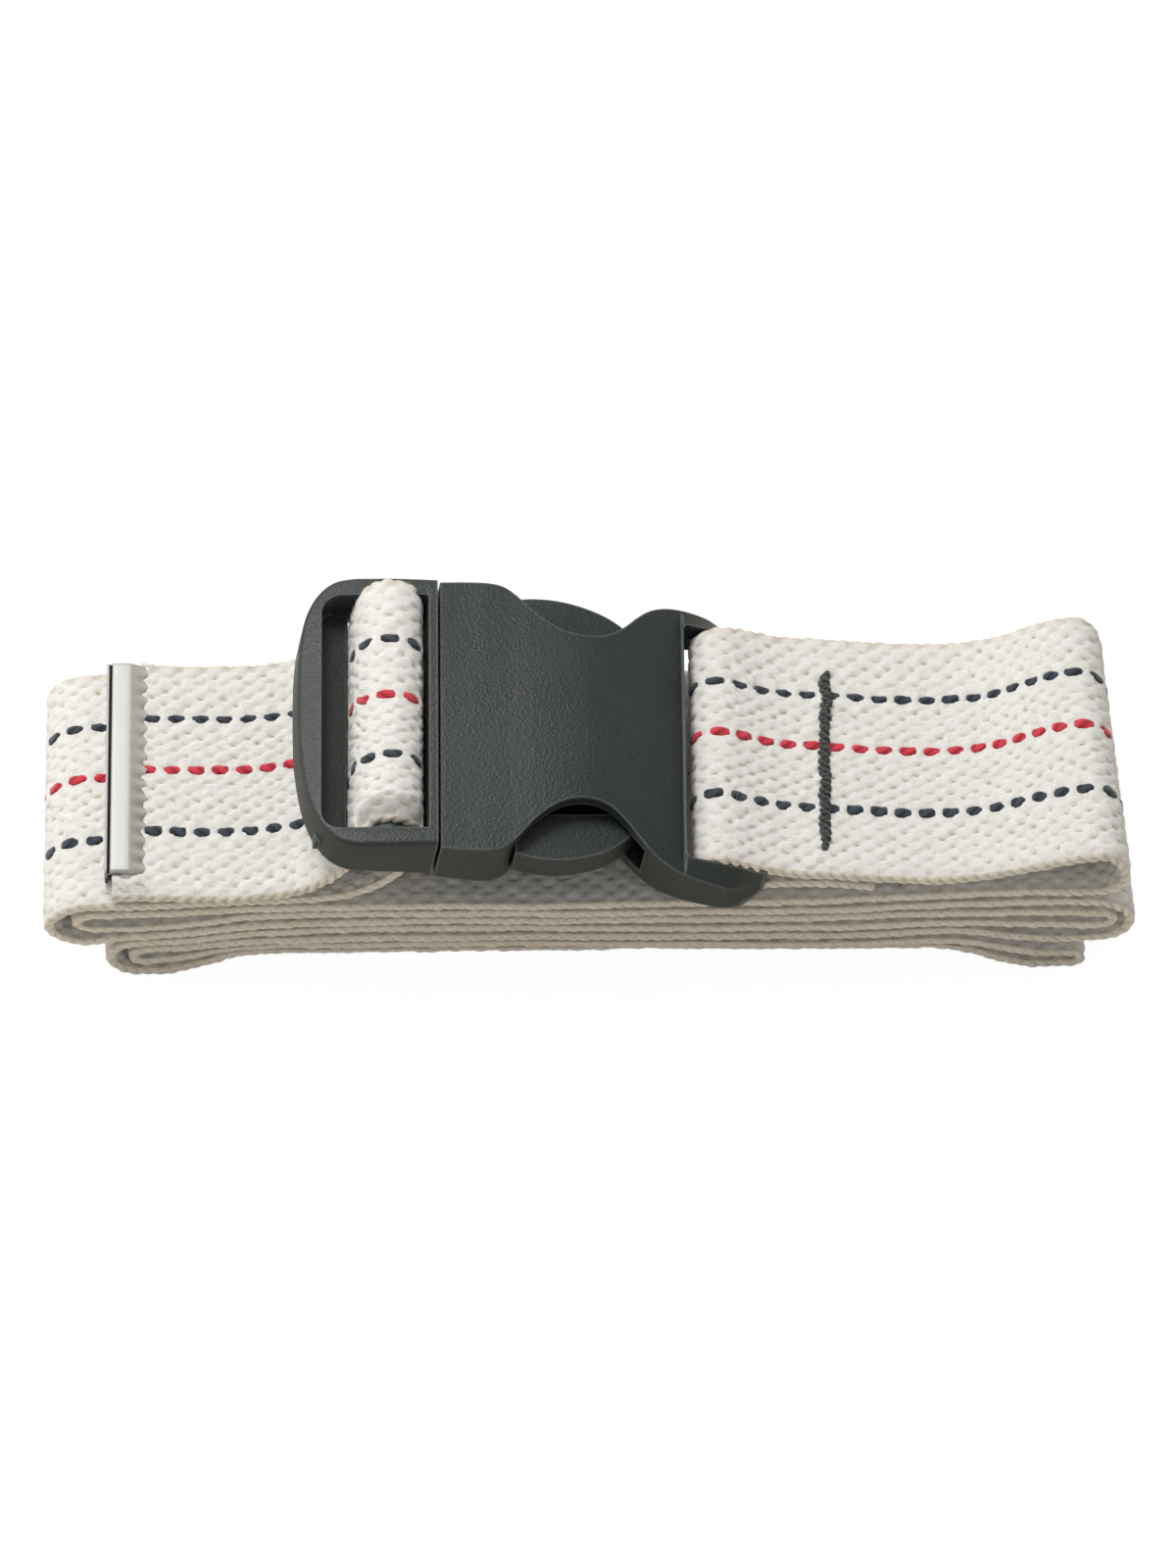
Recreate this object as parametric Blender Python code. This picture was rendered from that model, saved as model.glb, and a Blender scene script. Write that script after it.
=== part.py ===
"""Gait belt, buckled and folded: 2 inch cotton webbing with dashed pattern yarns, a side-release
buckle with a ladder adjuster, and a crimped metal tip on the free end.

Frame: metres, +Z up. X runs along the folded belt, Y across the webbing (near is -Y, far is +Y),
and the origin is on the ground under the middle of the buckle. The belt is one long strip whose
side view (X, Z) is folded and extruded across the webbing's width. Sizes below are millimetres.
The buckle has a frame of its own: u along it to the right, v across, w out of its base plane.
"""
import math

import bmesh
import bpy

MM = 0.001

# ---------------------------------------------------------------- webbing sizes
BELT_WIDTH = 50.8
WEB_T = 2.1
HALF_T = WEB_T / 2
# pattern yarns: middle of each across the webbing, then the band's section and its groove.
# LOW and HIGH are heights from the middle of the webbing's thickness.
YARN_Y = {"navy_far": 14.2, "red": 2.9, "navy_near": -10.8}
YARN_HALF_W = 0.9
YARN_LOW, YARN_HIGH = 0.35, 0.95
YARN_GAP = 0.3
GROOVE_HALF_W = YARN_HALF_W + YARN_GAP
GROOVE_LOW = 0.05

# ---------------------------------------------------------------- belt side view
# middle of the webbing (x, z), one list per layer in order along the belt
LAYERS = [
    # short run on top, from the buckle's end bar to the right
    [(24.5, 34.75), (29.5, 33.2), (36.0, 31.0), (42.5, 29.7), (52.0, 28.5), (62.0, 27.8),
     (71.0, 27.4), (77.0, 28.3), (82.5, 31.0), (88.0, 33.9), (92.0, 34.9)],
    # second in the stack, counted from the top
    [(90.5, 23.5), (78.0, 23.6), (65.0, 23.1), (43.0, 21.35), (20.0, 21.1), (0.0, 20.9),
     (-20.0, 20.85), (-40.0, 20.7), (-60.0, 19.95), (-72.0, 19.6), (-83.0, 19.9), (-89.5, 19.6)],
    # third
    [(-89.5, 14.2), (-83.0, 14.3), (-72.0, 15.6), (-60.0, 17.45), (-40.0, 18.2), (-20.0, 18.35),
     (0.0, 18.3), (20.0, 18.45), (43.0, 18.65), (65.0, 20.15), (80.0, 20.9), (90.0, 20.4)],
    # sixth
    [(91.0, 9.0), (84.0, 8.75), (76.0, 9.7), (65.0, 11.45), (43.0, 10.5), (20.0, 10.65),
     (0.0, 10.7), (-20.0, 10.95), (-40.0, 10.8), (-60.0, 10.05), (-72.0, 8.1), (-80.8, 7.1)],
    # seventh
    [(-80.8, 3.5), (-72.0, 4.9), (-60.0, 7.6), (-40.0, 8.35), (-20.0, 8.5), (0.0, 8.2),
     (20.0, 8.1), (43.0, 7.85), (65.0, 8.55), (76.0, 6.0), (82.0, 4.5), (87.2, 4.3)],
    # eighth, on the ground
    [(87.2, 1.05), (80.0, 1.05), (75.0, 2.6), (65.0, 5.5), (43.0, 5.25), (20.0, 5.6), (0.0, 5.8),
     (-20.0, 6.05), (-40.0, 5.9), (-60.0, 5.1), (-70.0, 2.5), (-77.0, 1.05), (-82.0, 1.05)],
    # fifth
    [(-82.0, 9.5), (-72.0, 10.6), (-60.0, 12.5), (-40.0, 13.3), (-20.0, 13.4), (0.0, 13.2),
     (20.0, 13.2), (43.0, 13.2), (65.0, 14.3), (80.0, 14.0), (92.4, 13.7)],
    # fourth
    [(92.4, 17.3), (80.0, 17.5), (65.0, 17.25), (43.0, 15.95), (20.0, 15.85), (0.0, 15.75),
     (-20.0, 15.85), (-40.0, 15.75), (-60.0, 15.0), (-72.0, 13.1), (-83.0, 11.9), (-91.0, 10.3)],
    # first, rising into the buckle
    [(-90.0, 22.2), (-83.0, 22.3), (-72.0, 22.2), (-60.0, 22.45), (-52.0, 22.9), (-45.0, 24.1),
     (-39.5, 26.6), (-35.2, 30.3), (-32.5, 34.4), (-31.65, 37.7)],
]
# fold after each layer but the last: (x of its tip, height of the tip between its two ends, 0..1)
FOLDS = [(96.6, 0.42), (-92.8, 0.5), (97.8, 0.55), (-82.9, 0.5),
         (89.2, 0.5), (-86.9, 0.5), (94.7, 0.5), (-97.8, 0.45)]
FLAT_STEP = 12.0
RISE_STEP = 5.0
FOLD_STEPS = 8
MIN_SPACING = 0.05

# the sewn end under the top run (x, z), from its cut edge to near the end bar
SEWN_END = [(51.2, 25.6), (47.0, 26.5), (42.5, 27.05), (36.0, 27.0), (29.5, 26.6)]
SEWN_END_STEP = 6.0
# the half turn round the end bar: half axes, parts, and where it starts and ends past the bar
BAR_TURN_X, BAR_TURN_Z = 4.15, 3.55
BAR_TURN_STEPS = 10
BAR_TURN_START = 0.6

# the turn over the adjuster bar (u, w)
LOOP_TURN = [(-3.4, 1.6), (-3.4, 3.2), (-3.45, 5.4), (-3.9, 8.2), (-5.3, 10.3), (-7.8, 11.2),
             (-10.3, 10.7), (-12.6, 9.0), (-13.9, 6.4), (-14.25, 4.0), (-14.3, 1.5)]
LOOP_TURN_STEP = 1.3
# the run from there down to the tail (x, z)
LOOP_DESCENT = [(-42.6, 36.9), (-44.3, 32.6), (-47.9, 28.8), (-52.2, 26.4)]
LOOP_DESCENT_STEP = 2.0

# the tail meets the loop at its hinge line
TAIL_SPLIT_X = -56.5
TAIL_MIDDLE = [(-63.0, 25.1), (-72.0, 25.15), (-79.0, 25.6)]
TAIL_STEP = 3.0

# ---------------------------------------------------------------- metal tip sizes
TIP_X0, TIP_X1 = -87.2, -80.6
TIP_Y0, TIP_Y1 = -22.0, 24.4
TIP_MID_Z = 25.75
TIP_SHEET = 0.5
TIP_TEETH = 14
TOOTH_VALLEY, TOOTH_POINT = -0.9, 0.35  # x from TIP_X1
TAIL_END_GAP = 0.5

# ---------------------------------------------------------------- sewn line sizes
TACK_X, TACK_Y0, TACK_Y1 = 42.5, -20.3, 18.8
TACK_TOP, TACK_LOW = 31.0, 25.4
TACK_BAR_HALF_W, TACK_BAR_T = 1.0, 0.6
TACK_LEGS, TACK_LEG_INSET = 5, 2.6
TACK_LEG_HALF, TACK_HOLE_HALF = 0.45, 0.75
TACK_LEG_OVERRUN, TACK_HOLE_OVERRUN = 0.3, 1.0

# ---------------------------------------------------------------- buckle sizes
BUCKLE_AT = (-28.4, 0.0, 36.2)
BUCKLE_PITCH = math.radians(9.0)
NOMINAL_H = 10.5
# (u, height of the top face above the base plane)
CROWN = [(-30.0, 7.2), (-13.0, 9.0), (0.0, 10.3), (12.0, 11.6), (26.0, 12.6),
         (36.0, 11.0), (45.0, 8.6), (54.0, 7.0), (62.0, 6.0)]
CROWN_STEP = 4.0
CAMBER = 0.003  # drop of the male frame, per mm, times u squared
SLOT_HALF = 25.75
SHELL_ROUND, LATCH_ROUND = 1.3, 0.8
ROUND_SEGMENTS = 2
FACE_TOLERANCE = 0.01

# female half: outer side from the waist end to the far end (u, v), then the inside of that end
FEMALE_SIDE = [
    (0.3, 29.4), (5.0, 29.6), (9.3, 29.5), (12.0, 28.6), (14.3, 26.4), (16.8, 23.3),
    (19.6, 20.6), (23.0, 18.6), (27.0, 18.0), (30.6, 18.9), (33.6, 21.3), (36.2, 24.3),
    (39.0, 27.0), (42.5, 28.8), (46.5, 29.5), (51.0, 29.5), (54.5, 29.0), (57.6, 27.9),
    (59.8, 26.6), (60.7, SLOT_HALF)]
FEMALE_SIDE_STEP = 2.2
FEMALE_INNER = [(46.0, SLOT_HALF), (45.5, 25.4), (45.2, 24.7), (45.2, 18.0), (45.2, 9.0),
                (45.2, 0.0)]
PLATE_T = 1.9
THROAT_HALF, THROAT_END = 25.9, 13.4
# half outline of the hollow (u, v): the throat, then the side openings narrowing to the inner end
CAVITY = [(-1.0, THROAT_HALF), (THROAT_END, THROAT_HALF), (THROAT_END, 31.5), (35.0, 31.5),
          (38.2, 24.0), (39.6, 20.0), (40.6, 16.0), (40.6, 0.0)]
END_BAR_U, END_BAR_W = 51.0, 3.2
# bar section about its middle (u, w)
END_BAR_SECTION = [(-2.6, -1.0), (-2.6, 1.0), (-1.6, 1.9), (1.6, 1.9),
                   (2.6, 1.0), (2.6, -1.0), (1.6, -1.9), (-1.6, -1.9)]
BAR_HALF_LENGTH = 27.0

# male half: outer side of the frame (u, v)
MALE_SIDE = [(-25.7, 0.0), (-25.5, 7.0), (-25.0, 12.0), (-24.2, 17.0), (-23.0, 21.2),
             (-21.6, 24.3), (-19.9, 26.9), (-17.9, 28.6), (-15.4, 29.5), (-12.0, 29.6),
             (-8.0, 29.6), (-0.3, 29.4)]
MALE_SIDE_STEP = 2.4
# half outlines (u, v)
WINDOW = [(-21.0, 0.0), (-21.0, 22.2), (-20.2, 24.2), (-18.6, 25.5), (-17.4, SLOT_HALF),
          (-2.2, SLOT_HALF), (-1.9, 25.45), (-1.9, 0.0)]
TONGUE = [(0.5, 7.2), (6.0, 6.2), (30.0, 5.4), (35.0, 4.4), (37.2, 2.4), (37.6, 0.0)]
TONGUE_W0, TONGUE_W1 = 3.3, 7.4
# sections (u, w)
ADJUSTER_SECTION = [(-12.1, 3.6), (-11.9, 6.0), (-10.9, 8.0), (-8.6, 9.3), (-6.3, 8.7),
                    (-5.2, 7.0), (-5.0, 3.4), (-6.2, 2.4), (-11.2, 2.4)]
LEDGE_SECTION = [(-21.6, 0.9), (-21.6, 3.6), (-19.0, 3.1), (-16.6, 2.2), (-16.3, 1.7),
                 (-16.6, 0.9)]
LEDGE_HALF_LENGTH = 25.2

# latch arm on the far side (u, v): inner face to the nose, outside of the head, outside of the stem
LATCH_HINGE = (1.45, 18.0)
LATCH_INNER = [(1.45, 16.2), (5.0, 17.0), (11.5, 19.0), (14.5, 20.6), (18.0, 19.4), (24.0, 19.0),
               (30.0, 18.3), (34.5, 17.2), (37.0, 17.3), (37.6, 18.6), (36.6, 20.4)]
LATCH_HEAD = [(36.6, 20.4), (34.0, 23.6), (30.5, 26.3), (26.0, 28.2), (21.5, 29.1), (17.0, 29.0),
              (14.0, 28.2)]
LATCH_STEM = [(13.75, 24.3), (11.5, 22.6), (5.0, 20.4), (1.45, 19.8)]
LATCH_HEAD_STEP = 2.0
LATCH_W0, LATCH_W1 = 2.7, 8.0


# ---------------------------------------------------------------- 2D geometry
def spline(points, step):
    """Points about step apart on a Catmull-Rom curve through the given points."""
    out = []
    last = len(points) - 1
    for i in range(last):
        ends = (points[max(i - 1, 0)], points[i], points[i + 1], points[min(i + 2, last)])
        parts = max(1, int(round(math.dist(points[i], points[i + 1]) / step)))
        for k in range(parts):
            t = k / parts
            out.append(tuple(
                0.5 * (2 * b + (c - a) * t + (2 * a - 5 * b + 4 * c - d) * t * t
                       + (3 * b - a - 3 * c + d) * t ** 3)
                for a, b, c, d in zip(*ends)))
    out.append(tuple(points[-1]))
    return out


def fold(start, end, tip_x, rise):
    """The points between start and end of a fold reaching tip_x: two quarter ellipses."""
    tip_z = min(start[1], end[1]) + abs(end[1] - start[1]) * rise
    out = []
    half = FOLD_STEPS // 2
    for k in range(1, half + 1):
        angle = math.pi / 2 * k / half
        out.append((start[0] + (tip_x - start[0]) * math.sin(angle),
                    start[1] + (tip_z - start[1]) * (1 - math.cos(angle))))
    for k in range(1, half):
        angle = math.pi / 2 * k / half
        out.append((end[0] + (tip_x - end[0]) * math.cos(angle),
                    tip_z + (end[1] - tip_z) * math.sin(angle)))
    return out


def join(*runs):
    """One path from several, leaving out points that all but repeat the one before."""
    out = []
    for run in runs:
        for point in run:
            if not out or math.dist(out[-1], point) > MIN_SPACING:
                out.append(point)
    return out


def offset_line(path, distance):
    """The path moved along its left-hand normal, with mitred corners."""
    normals = []
    for start, end in zip(path, path[1:]):
        length = math.dist(start, end)
        normals.append(((start[1] - end[1]) / length, (end[0] - start[0]) / length))
    out = []
    for point, before, after in zip(path, normals[:1] + normals, normals + normals[-1:]):
        mitre = (before[0] + after[0], before[1] + after[1])
        scale = 2 / (mitre[0] ** 2 + mitre[1] ** 2)
        out.append((point[0] + mitre[0] * scale * distance,
                    point[1] + mitre[1] * scale * distance))
    return out


def mirrored(half):
    """Close a half outline (second value >= 0) by its mirror image across the first axis."""
    return list(half) + [(u, -v) for u, v in half[::-1] if v > 1e-6]


def crown(u):
    """Height of the buckle's top face at u, by cubic Hermite through CROWN."""
    if u <= CROWN[0][0]:
        return CROWN[0][1]
    for i in range(len(CROWN) - 1):
        (u0, h0), (u1, h1) = CROWN[i], CROWN[i + 1]
        if u <= u1:
            before = CROWN[max(i - 1, 0)]
            after = CROWN[min(i + 2, len(CROWN) - 1)]
            slope0 = (h1 - before[1]) / (u1 - before[0])
            slope1 = (after[1] - h0) / (after[0] - u0)
            width = u1 - u0
            t = (u - u0) / width
            return ((2 * t ** 3 - 3 * t ** 2 + 1) * h0
                    + (t ** 3 - 2 * t ** 2 + t) * width * slope0
                    + (-2 * t ** 3 + 3 * t ** 2) * h1
                    + (t ** 3 - t ** 2) * width * slope1)
    return CROWN[-1][1]


def buckle_to_world(u, w):
    """World (x, z) of a point in the buckle's side view."""
    c, s = math.cos(BUCKLE_PITCH), math.sin(BUCKLE_PITCH)
    return (BUCKLE_AT[0] + u * c + w * s, BUCKLE_AT[2] - u * s + w * c)


# ---------------------------------------------------------------- scene and materials
for old in list(bpy.data.objects):
    bpy.data.objects.remove(old, do_unlink=True)

PARTS = bpy.data.collections.new("gait_belt")
CUTTERS = bpy.data.collections.new("cutters")
for group in (PARTS, CUTTERS):
    bpy.context.scene.collection.children.link(group)


def material(name, colour, roughness, metallic=0.0):
    mat = bpy.data.materials.new(name)
    mat.use_nodes = True
    bsdf = mat.node_tree.nodes["Principled BSDF"]
    bsdf.inputs["Base Color"].default_value = (*colour, 1.0)
    bsdf.inputs["Roughness"].default_value = roughness
    bsdf.inputs["Metallic"].default_value = metallic
    mat.diffuse_color = (*colour, 1.0)
    return mat


COTTON = material("natural_cotton", colour=(0.82, 0.78, 0.70), roughness=0.95)
NAVY = material("navy_yarn", colour=(0.035, 0.05, 0.085), roughness=0.9)
RED = material("red_yarn", colour=(0.55, 0.02, 0.035), roughness=0.9)
THREAD = material("charcoal_thread", colour=(0.04, 0.045, 0.045), roughness=0.85)
ACETAL = material("black_acetal", colour=(0.03, 0.035, 0.033), roughness=0.42)
METAL = material("bright_metal", colour=(0.86, 0.85, 0.83), roughness=0.22, metallic=1.0)
YARN_MAT = {"navy_far": NAVY, "red": RED, "navy_near": NAVY}


# ---------------------------------------------------------------- mesh helpers
def poly_curve(name, points, cyclic):
    """A flat curve of straight segments through points given in mm."""
    data = bpy.data.curves.new(name, "CURVE")
    data.dimensions = "2D"
    data.render_resolution_u = 0
    line = data.splines.new("POLY")
    line.points.add(len(points) - 1)
    for point, (x, y) in zip(line.points, points):
        point.co = (x * MM, y * MM, 0.0, 1.0)
    line.use_cyclic_u = cyclic
    return data


def evaluated_mesh(obj):
    bpy.context.view_layer.update()
    depsgraph = bpy.context.evaluated_depsgraph_get()
    return bpy.data.meshes.new_from_object(obj.evaluated_get(depsgraph))


def mesh_from_curve(name, data, collection, lift=0.0):
    """A closed mesh object from a curve, raised by lift."""
    curve = bpy.data.objects.new(name + "_curve", data)
    CUTTERS.objects.link(curve)
    mesh = evaluated_mesh(curve)
    bpy.data.objects.remove(curve, do_unlink=True)
    bm = bmesh.new()
    bm.from_mesh(mesh)
    bmesh.ops.remove_doubles(bm, verts=bm.verts, dist=1e-6)
    bmesh.ops.translate(bm, verts=bm.verts, vec=(0, 0, lift))
    bmesh.ops.recalc_face_normals(bm, faces=bm.faces)
    bm.to_mesh(mesh)
    bm.free()
    mesh.name = name
    obj = bpy.data.objects.new(name, mesh)
    collection.objects.link(obj)
    return obj


def plate(name, outline, z0, z1, collection=PARTS):
    """A flat outline filled between z0 and z1."""
    data = poly_curve(name + "_outline", outline, cyclic=True)
    data.fill_mode = "BOTH"
    data.extrude = (z1 - z0) / 2 * MM
    return mesh_from_curve(name, data, collection, lift=(z0 + z1) / 2 * MM)


def side_strip(name, outline, y0, y1, collection=PARTS):
    """A side view outline (x, z) extruded across the belt from y0 to y1."""
    obj = plate(name, outline, -y1, -y0, collection)
    obj.rotation_euler = (math.pi / 2, 0, 0)
    return obj


def swept_strip(name, path, profile):
    """A closed profile (offset to the path's left, y) run along a side view path (x, z)."""
    section = poly_curve(name + "_profile", [(-d, -y) for d, y in profile], cyclic=True)
    profile_obj = bpy.data.objects.new(name + "_profile", section)
    CUTTERS.objects.link(hide(profile_obj))
    data = poly_curve(name + "_path", path, cyclic=False)
    data.bevel_mode = "OBJECT"
    data.bevel_object = profile_obj
    data.use_fill_caps = True
    data.fill_mode = "NONE"
    obj = mesh_from_curve(name, data, PARTS)
    obj.rotation_euler = (math.pi / 2, 0, 0)
    return obj


def box(name, x_span, y_span, z_span, collection=CUTTERS):
    spans = (x_span, y_span, z_span)
    bm = bmesh.new()
    bmesh.ops.create_cube(bm, size=1.0)
    bmesh.ops.scale(bm, verts=bm.verts, vec=[(high - low) * MM for low, high in spans])
    bmesh.ops.translate(bm, verts=bm.verts, vec=[(low + high) / 2 * MM for low, high in spans])
    mesh = bpy.data.meshes.new(name)
    bm.to_mesh(mesh)
    bm.free()
    obj = bpy.data.objects.new(name, mesh)
    collection.objects.link(obj)
    return obj


def hide(helper):
    helper.hide_render = True
    helper.display_type = "WIRE"
    return helper


def combine(obj, cutter, operation="DIFFERENCE"):
    modifier = obj.modifiers.new(cutter.name, "BOOLEAN")
    modifier.operation = operation
    modifier.solver = "EXACT"
    modifier.object = hide(cutter)


def flatten(obj):
    """Replace the object's mesh with what its modifiers make."""
    mesh = evaluated_mesh(obj)
    obj.modifiers.clear()
    old_mesh = obj.data
    obj.data = mesh
    bpy.data.meshes.remove(old_mesh)


def set_material(obj, mat):
    """Make mat the only material, dropping any slots left by booleans."""
    obj.data.materials.clear()
    obj.data.materials.append(mat)


def smooth(obj):
    obj.data.shade_smooth()
    obj.data.set_sharp_from_angle(angle=math.radians(35))


# ---------------------------------------------------------------- webbing
def belt_path():
    """The sewn end, round the end bar's left side, then every folded layer."""
    bar_x, bar_z = buckle_to_world(END_BAR_U, END_BAR_W)
    start_x = bar_x + BAR_TURN_START
    turn = []
    for k in range(1, BAR_TURN_STEPS):
        angle = math.pi / 2 + math.pi * k / BAR_TURN_STEPS
        turn.append((bar_x + BAR_TURN_X * math.cos(angle), bar_z - BAR_TURN_Z * math.sin(angle)))
    runs = [spline(SEWN_END + [(start_x, bar_z - BAR_TURN_Z)], SEWN_END_STEP),
            turn, [(start_x, bar_z + BAR_TURN_Z)]]
    for layer, following, (tip_x, rise) in zip(LAYERS, LAYERS[1:], FOLDS):
        runs += [spline(layer, FLAT_STEP), fold(layer[-1], following[0], tip_x, rise)]
    runs.append(spline(LAYERS[-1], RISE_STEP))
    return join(*runs)


def loop_path():
    """Over the adjuster bar, then down to the tail's hinge line."""
    turn = [buckle_to_world(u, w) for u, w in spline(LOOP_TURN, LOOP_TURN_STEP)]
    descent = [buckle_to_world(*LOOP_TURN[-1]), *LOOP_DESCENT, (TAIL_SPLIT_X + 0.1, 25.55)]
    return join(turn, spline(descent, LOOP_DESCENT_STEP))


def tail_path():
    """From the hinge line into the metal tip."""
    end = (TIP_X0 + TIP_SHEET + TAIL_END_GAP, TIP_MID_Z)
    return spline([(TAIL_SPLIT_X - 0.2, 25.52), *TAIL_MIDDLE, end], TAIL_STEP)


def belt_piece(name, yarn_prefix, path, side):
    """Webbing with its three bands in grooves. side +1 puts them on the left of the path."""
    edge = BELT_WIDTH / 2
    face, floor = side * HALF_T, side * GROOVE_LOW
    profile = [(-face, -edge), (-face, edge), (face, edge)]
    for y in YARN_Y.values():
        y0, y1 = y - GROOVE_HALF_W, y + GROOVE_HALF_W
        profile += [(face, y1), (floor, y1), (floor, y0), (face, y0)]
    profile.append((face, -edge))
    webbing = swept_strip(name, path, profile)
    set_material(webbing, COTTON)
    low, high = side * YARN_LOW, side * YARN_HIGH
    for key, y in YARN_Y.items():
        y0, y1 = y - YARN_HALF_W, y + YARN_HALF_W
        band = [(low, y0), (low, y1), (high, y1), (high, y0)]
        set_material(swept_strip(f"{yarn_prefix}_yarn_{key}", path, band), YARN_MAT[key])
    return webbing


# ---------------------------------------------------------------- sewn line
def tack_post(name, y, half, overrun):
    """An upright square post through both layers of the sewn end."""
    return box(name, (TACK_X - half, TACK_X + half), (y - half, y + half),
               (TACK_LOW - overrun, TACK_TOP + overrun))


def build_tack(belt):
    """Thread bars above and below both layers, joined by legs through holes in the belt."""
    x_span = (TACK_X - TACK_BAR_HALF_W, TACK_X + TACK_BAR_HALF_W)
    y_span = (TACK_Y0, TACK_Y1)
    tack = box("bartack_thread", x_span, y_span, (TACK_TOP, TACK_TOP + TACK_BAR_T), PARTS)
    low_bar = box("tack_low_bar", x_span, y_span, (TACK_LOW - TACK_BAR_T, TACK_LOW))
    combine(tack, low_bar, "UNION")
    leg_run = TACK_Y1 - TACK_Y0 - 2 * TACK_LEG_INSET
    for i in range(TACK_LEGS):
        y = TACK_Y0 + TACK_LEG_INSET + i * leg_run / (TACK_LEGS - 1)
        leg = tack_post(f"tack_leg_{i}", y, TACK_LEG_HALF, TACK_LEG_OVERRUN)
        combine(tack, leg, "UNION")
        hole = tack_post(f"tack_hole_{i}", y, TACK_HOLE_HALF, TACK_HOLE_OVERRUN)
        combine(belt, hole)
    set_material(tack, THREAD)


# ---------------------------------------------------------------- metal tip
def build_tip():
    """A strip bent to a U over the webbing's end, with a zigzag edge at its mouth."""
    # middle of the sheet, upper jaw: (x, height above the tip's middle)
    jaw = [(TIP_X1, 1.45), (TIP_X1 - 2.3, 1.95), (TIP_X1 - 5.6, 1.95),
           (TIP_X0 + TIP_SHEET / 2, 1.55)]
    sheet = [(x, TIP_MID_Z + z) for x, z in mirrored(jaw)]
    outline = offset_line(sheet, -TIP_SHEET / 2) + offset_line(sheet, TIP_SHEET / 2)[::-1]
    tip = side_strip("end_tip", outline, TIP_Y0, TIP_Y1)

    pitch = (TIP_Y1 - TIP_Y0) / TIP_TEETH
    point_x, clear_x = TIP_X1 + TOOTH_POINT, TIP_X1 + 2.0
    zigzag = [(clear_x, TIP_Y0 - 2.0), (point_x, TIP_Y0 - 2.0)]
    for k in range(TIP_TEETH + 1):
        y = TIP_Y0 + k * pitch
        zigzag += [(TIP_X1 + TOOTH_VALLEY, y), (point_x, y + pitch / 2)]
    zigzag.append((clear_x, zigzag[-1][1]))
    combine(tip, plate("tip_teeth", zigzag, TIP_MID_Z - 4, TIP_MID_Z + 4, CUTTERS))
    set_material(tip, METAL)


# ---------------------------------------------------------------- buckle
def round_rim(obj, w0, w1, in_rim, width):
    """Bevel the edges lying in the faces at w0 and w1 whose middle (mm) passes in_rim."""
    bm = bmesh.new()
    bm.from_mesh(obj.data)
    bmesh.ops.dissolve_limit(bm, angle_limit=math.radians(0.5), verts=bm.verts, edges=bm.edges)

    def picked(edge):
        at_top = all(v.co.z > (w1 - FACE_TOLERANCE) * MM for v in edge.verts)
        at_base = all(v.co.z < (w0 + FACE_TOLERANCE) * MM for v in edge.verts)
        return (at_top or at_base) and in_rim((edge.verts[0].co + edge.verts[1].co) / 2 / MM)

    bmesh.ops.bevel(bm, geom=[e for e in bm.edges if picked(e)], offset=width * MM,
                    offset_type="OFFSET", segments=ROUND_SEGMENTS, profile=0.5,
                    affect="EDGES", clamp_overlap=True)
    bmesh.ops.remove_doubles(bm, verts=bm.verts, dist=2e-6)
    bm.to_mesh(obj.data)
    bm.free()


def apply_crown(obj, side):
    """Cut across u at even places along the side, then scale the height to the crown."""
    u0, u1 = side[0][0], side[-1][0]
    bm = bmesh.new()
    bm.from_mesh(obj.data)
    parts = int((u1 - u0) / CROWN_STEP)
    for k in range(1, parts):
        u = (u0 + (u1 - u0) * k / parts) * MM
        bmesh.ops.bisect_plane(bm, geom=list(bm.verts) + list(bm.edges) + list(bm.faces),
                               dist=2e-6, plane_co=(u, 0, 0), plane_no=(1, 0, 0))
    for vert in bm.verts:
        vert.co.z *= crown(vert.co.x / MM) / NOMINAL_H
    bmesh.ops.triangulate(bm, faces=bm.faces)
    bm.to_mesh(obj.data)
    bm.free()


def finish_half(shell, cutters, frame):
    """Material, shading and parent of a buckle half, once its pieces are combined."""
    set_material(shell, ACETAL)
    smooth(shell)
    for obj in (shell, *cutters):
        obj.parent = frame


def build_female(frame):
    """Crowned top and base plates joined by side walls at both ends, open at the waist."""
    outline = mirrored(spline(FEMALE_SIDE, FEMALE_SIDE_STEP) + FEMALE_INNER)
    female = plate("female_shell", outline, 0.0, NOMINAL_H)

    def in_rim(mid):
        inside_far_end = mid.x > 45.0 and abs(mid.y) < 26.0
        return 0.5 < mid.x < 60.0 and abs(mid.y) > 17.9 and not inside_far_end

    round_rim(female, 0.0, NOMINAL_H, in_rim, SHELL_ROUND)
    cavity = plate("female_cavity", mirrored(CAVITY), PLATE_T, NOMINAL_H - PLATE_T, CUTTERS)
    combine(female, cavity)
    # the base plate stops short of the end bar, so the webbing can turn round it
    turn = box("webbing_turn", (43.4, 45.9), (-SLOT_HALF, SLOT_HALF), (-1.0, 6.3))
    combine(female, turn)
    flatten(female)
    apply_crown(female, FEMALE_SIDE)
    section = [(END_BAR_U + du, END_BAR_W + dw) for du, dw in END_BAR_SECTION]
    end_bar = side_strip("end_bar", section, -BAR_HALF_LENGTH, BAR_HALF_LENGTH, CUTTERS)
    combine(female, end_bar, "UNION")
    finish_half(female, (cavity, turn, end_bar), frame)


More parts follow.
